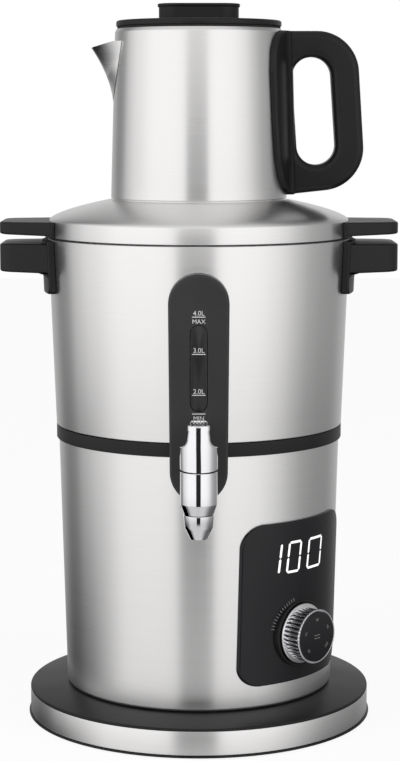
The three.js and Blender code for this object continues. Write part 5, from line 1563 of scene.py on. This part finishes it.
spout_slope = math.degrees(math.atan2(4.4, 17.4))
above_spout = moved(
    box((-120, -60, 0), (60, 60, 60)), rotation(-spout_slope, "Y"),
    shift(x=-pot_radius(spout_top), z=spout_top))
inside_pot = cone_solid(pot_radius, pot_low, pot_high)
spout = cut(beak(0), beak(sheet), inside_pot, above_spout)
hand_over("teapot_beak", spout, "teapot", "brushed_steel", ["teapot_spout"], crease=40)

# %% [markdown]
# ## The handle
#
# The handle is a thick loop with a finger hole, carried by a saddle that hugs the pot. The
# loop is an outline with generous corners, and the hole is a slot that leans a little. The
# soft edge goes on after the hole is cut, so that both rims get the same round. The saddle
# swells a little where it meets the loop.

# %% Loop
handle_low, handle_high = low("teapot_handle").z, high("teapot_handle").z
handle_reach = high("teapot_handle").x        # of the loop's lower round
upper_reach = handle_reach - 3.6
handle_round = 31
handle_half = 11
handle_edge = 5
loop_root = 30
under_slope = 0.11
side_slope = (handle_reach - upper_reach) / (handle_high - handle_low - 2 * handle_round - 2.8)


def underside_at(x):
    """The height of the handle's underside, which climbs outwards from the pot's foot."""
    return handle_low + under_slope * (x - pot_foot[0])


loop = plate([
    (loop_root, underside_at(loop_root)),
    (handle_reach + side_slope * handle_round, underside_at(handle_reach), handle_round),
    (upper_reach - side_slope * handle_round, handle_high, handle_round),
    (loop_root, handle_high),
], -handle_half, handle_half)
hole_top = Vector((upper_reach - 35.1, handle_high - 33.3))
hole_low = Vector((handle_reach - 35.2, handle_low + 36.1))
hole_half = 14.3
hole_turn = math.degrees(math.atan2(hole_low.x - hole_top.x, hole_top.y - hole_low.y))
hole_length = (hole_top - hole_low).length
finger_hole = moved(
    plate(long_round(hole_half, -hole_half, hole_length + hole_half), -20, 20),
    rotation(hole_turn, "Z"), shift(*hole_low))
loop = cut(loop, finger_hole)
bmesh.ops.dissolve_limit(loop, angle_limit=0.01, verts=loop.verts, edges=loop.edges)
bevel(loop, rims(loop, [-handle_half, handle_half]), handle_edge, 8)
pot_room = cone_solid(pot_radius, pot_low - 8, pot_high + 8, seat_gap + 1.5)
loop = cut(moved(loop, rotation(90, "X")), pot_room)

# %% Saddle
saddle_half = 36.3
saddle_round, saddle_foot_round = 14, 2
saddle_shares = [
    # of its half width and of its height, from the foot up
    (0.3, 0), (0.6, 0.03), (0.81, 0.1), (0.94, 0.22), (0.98, 0.4), (1, 0.75), (0.96, 0.88),
    (0.84, 0.96), (0.6, 1),
]
saddle_side = [
    (saddle_half * across, handle_low + (handle_high - handle_low) * up,
     saddle_round if up else saddle_foot_round)
    for across, up in saddle_shares
]
saddle_outline = saddle_side + [
    (-across, height, soft) for across, height, soft in reversed(saddle_side)]


def ridge(aside, ease=9, most=3.4):
    """A hollow round that eases the saddle into the side of the loop."""
    depth = min(max(handle_half + ease - aside, 0), ease)
    return min(ease - math.sqrt(ease ** 2 - depth ** 2), most)


saddle = hugging(saddle_outline, thick=3.4, edge=1.2, wall=pot_radius, strip=1.0, swell=ridge)
hand_over(
    "teapot_grip", join(loop, saddle), "teapot", "black_plastic", ["teapot_handle"],
    flat_faces=True)

# %% [markdown]
# ## The teapot's lid
#
# The lid is a shallow black disc with a plug that goes into the mouth. Its knob is a
# stadium-shaped grip with a flange round the top and a shallow dish in it.

# %% Lid and knob
cover_low, cover_top = 517.6, 521.8
cover_radius, plug_in, plug_out = 61, 55.6, 57.6
plug_low, crown = cover_low - 9, cover_top + 0.8
pot_lid = spun([
    (0, cover_low), (plug_in, cover_low), (plug_in, plug_low, 0.5), (plug_out, plug_low, 0.5),
    (plug_out, cover_low), (cover_radius, cover_low, 0.6), (cover_radius, cover_top, 1.6),
    (36, crown, 4), (0, crown),
])
hand_over("teapot_cover", pot_lid, "teapot_lid", "black_plastic", ["teapot_lid"])

knob_low, knob_high = low("lid_knob").z, high("lid_knob").z
knob_half, knob_depth, knob_corner = 29.4, 18, 13         # of its outline, from the middle
dish_depth, dish_inset = 1.2, 3.4
flange_depth, flange_step, flange_edge = 2.4, 0.9, 0.8


def knob_plate(grow, bottom, top, edge=0.0, both=False):
    """A plate with the knob's stadium outline, made larger by grow."""
    half, depth, corner = knob_half + grow, knob_depth + grow, knob_corner + grow
    return plate(rectangle(half, -depth, depth, corner, corner), bottom, top, edge, both=both)


knob_grip = join(
    knob_plate(0, knob_low, knob_high - dish_depth),
    knob_plate(flange_step, knob_high - flange_depth, knob_high, flange_edge, True))
dish = knob_plate(-dish_inset, knob_high - dish_depth, knob_high + overrun)
hand_over(
    "teapot_cover_knob", cut(knob_grip, dish), "teapot_lid", "black_plastic", ["lid_knob"],
    flat_faces=True)

# %% [markdown]
# ## Finishes for the hidden pieces
#
# What stays packed is hidden or small: screws, boards, the heater, the valve's inside. Each
# gets the finish of its slot, so that an opened samovar looks right too.

# %% Finishes by slot
kept = [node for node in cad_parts.values() if not node.hide_render]
for node in kept:
    for holder in node.material_slots:
        packed = holder.material.name
        holder.link = "OBJECT"
        holder.material = looks[packed]
print(len(kept), "packed pieces stay and get a finish")
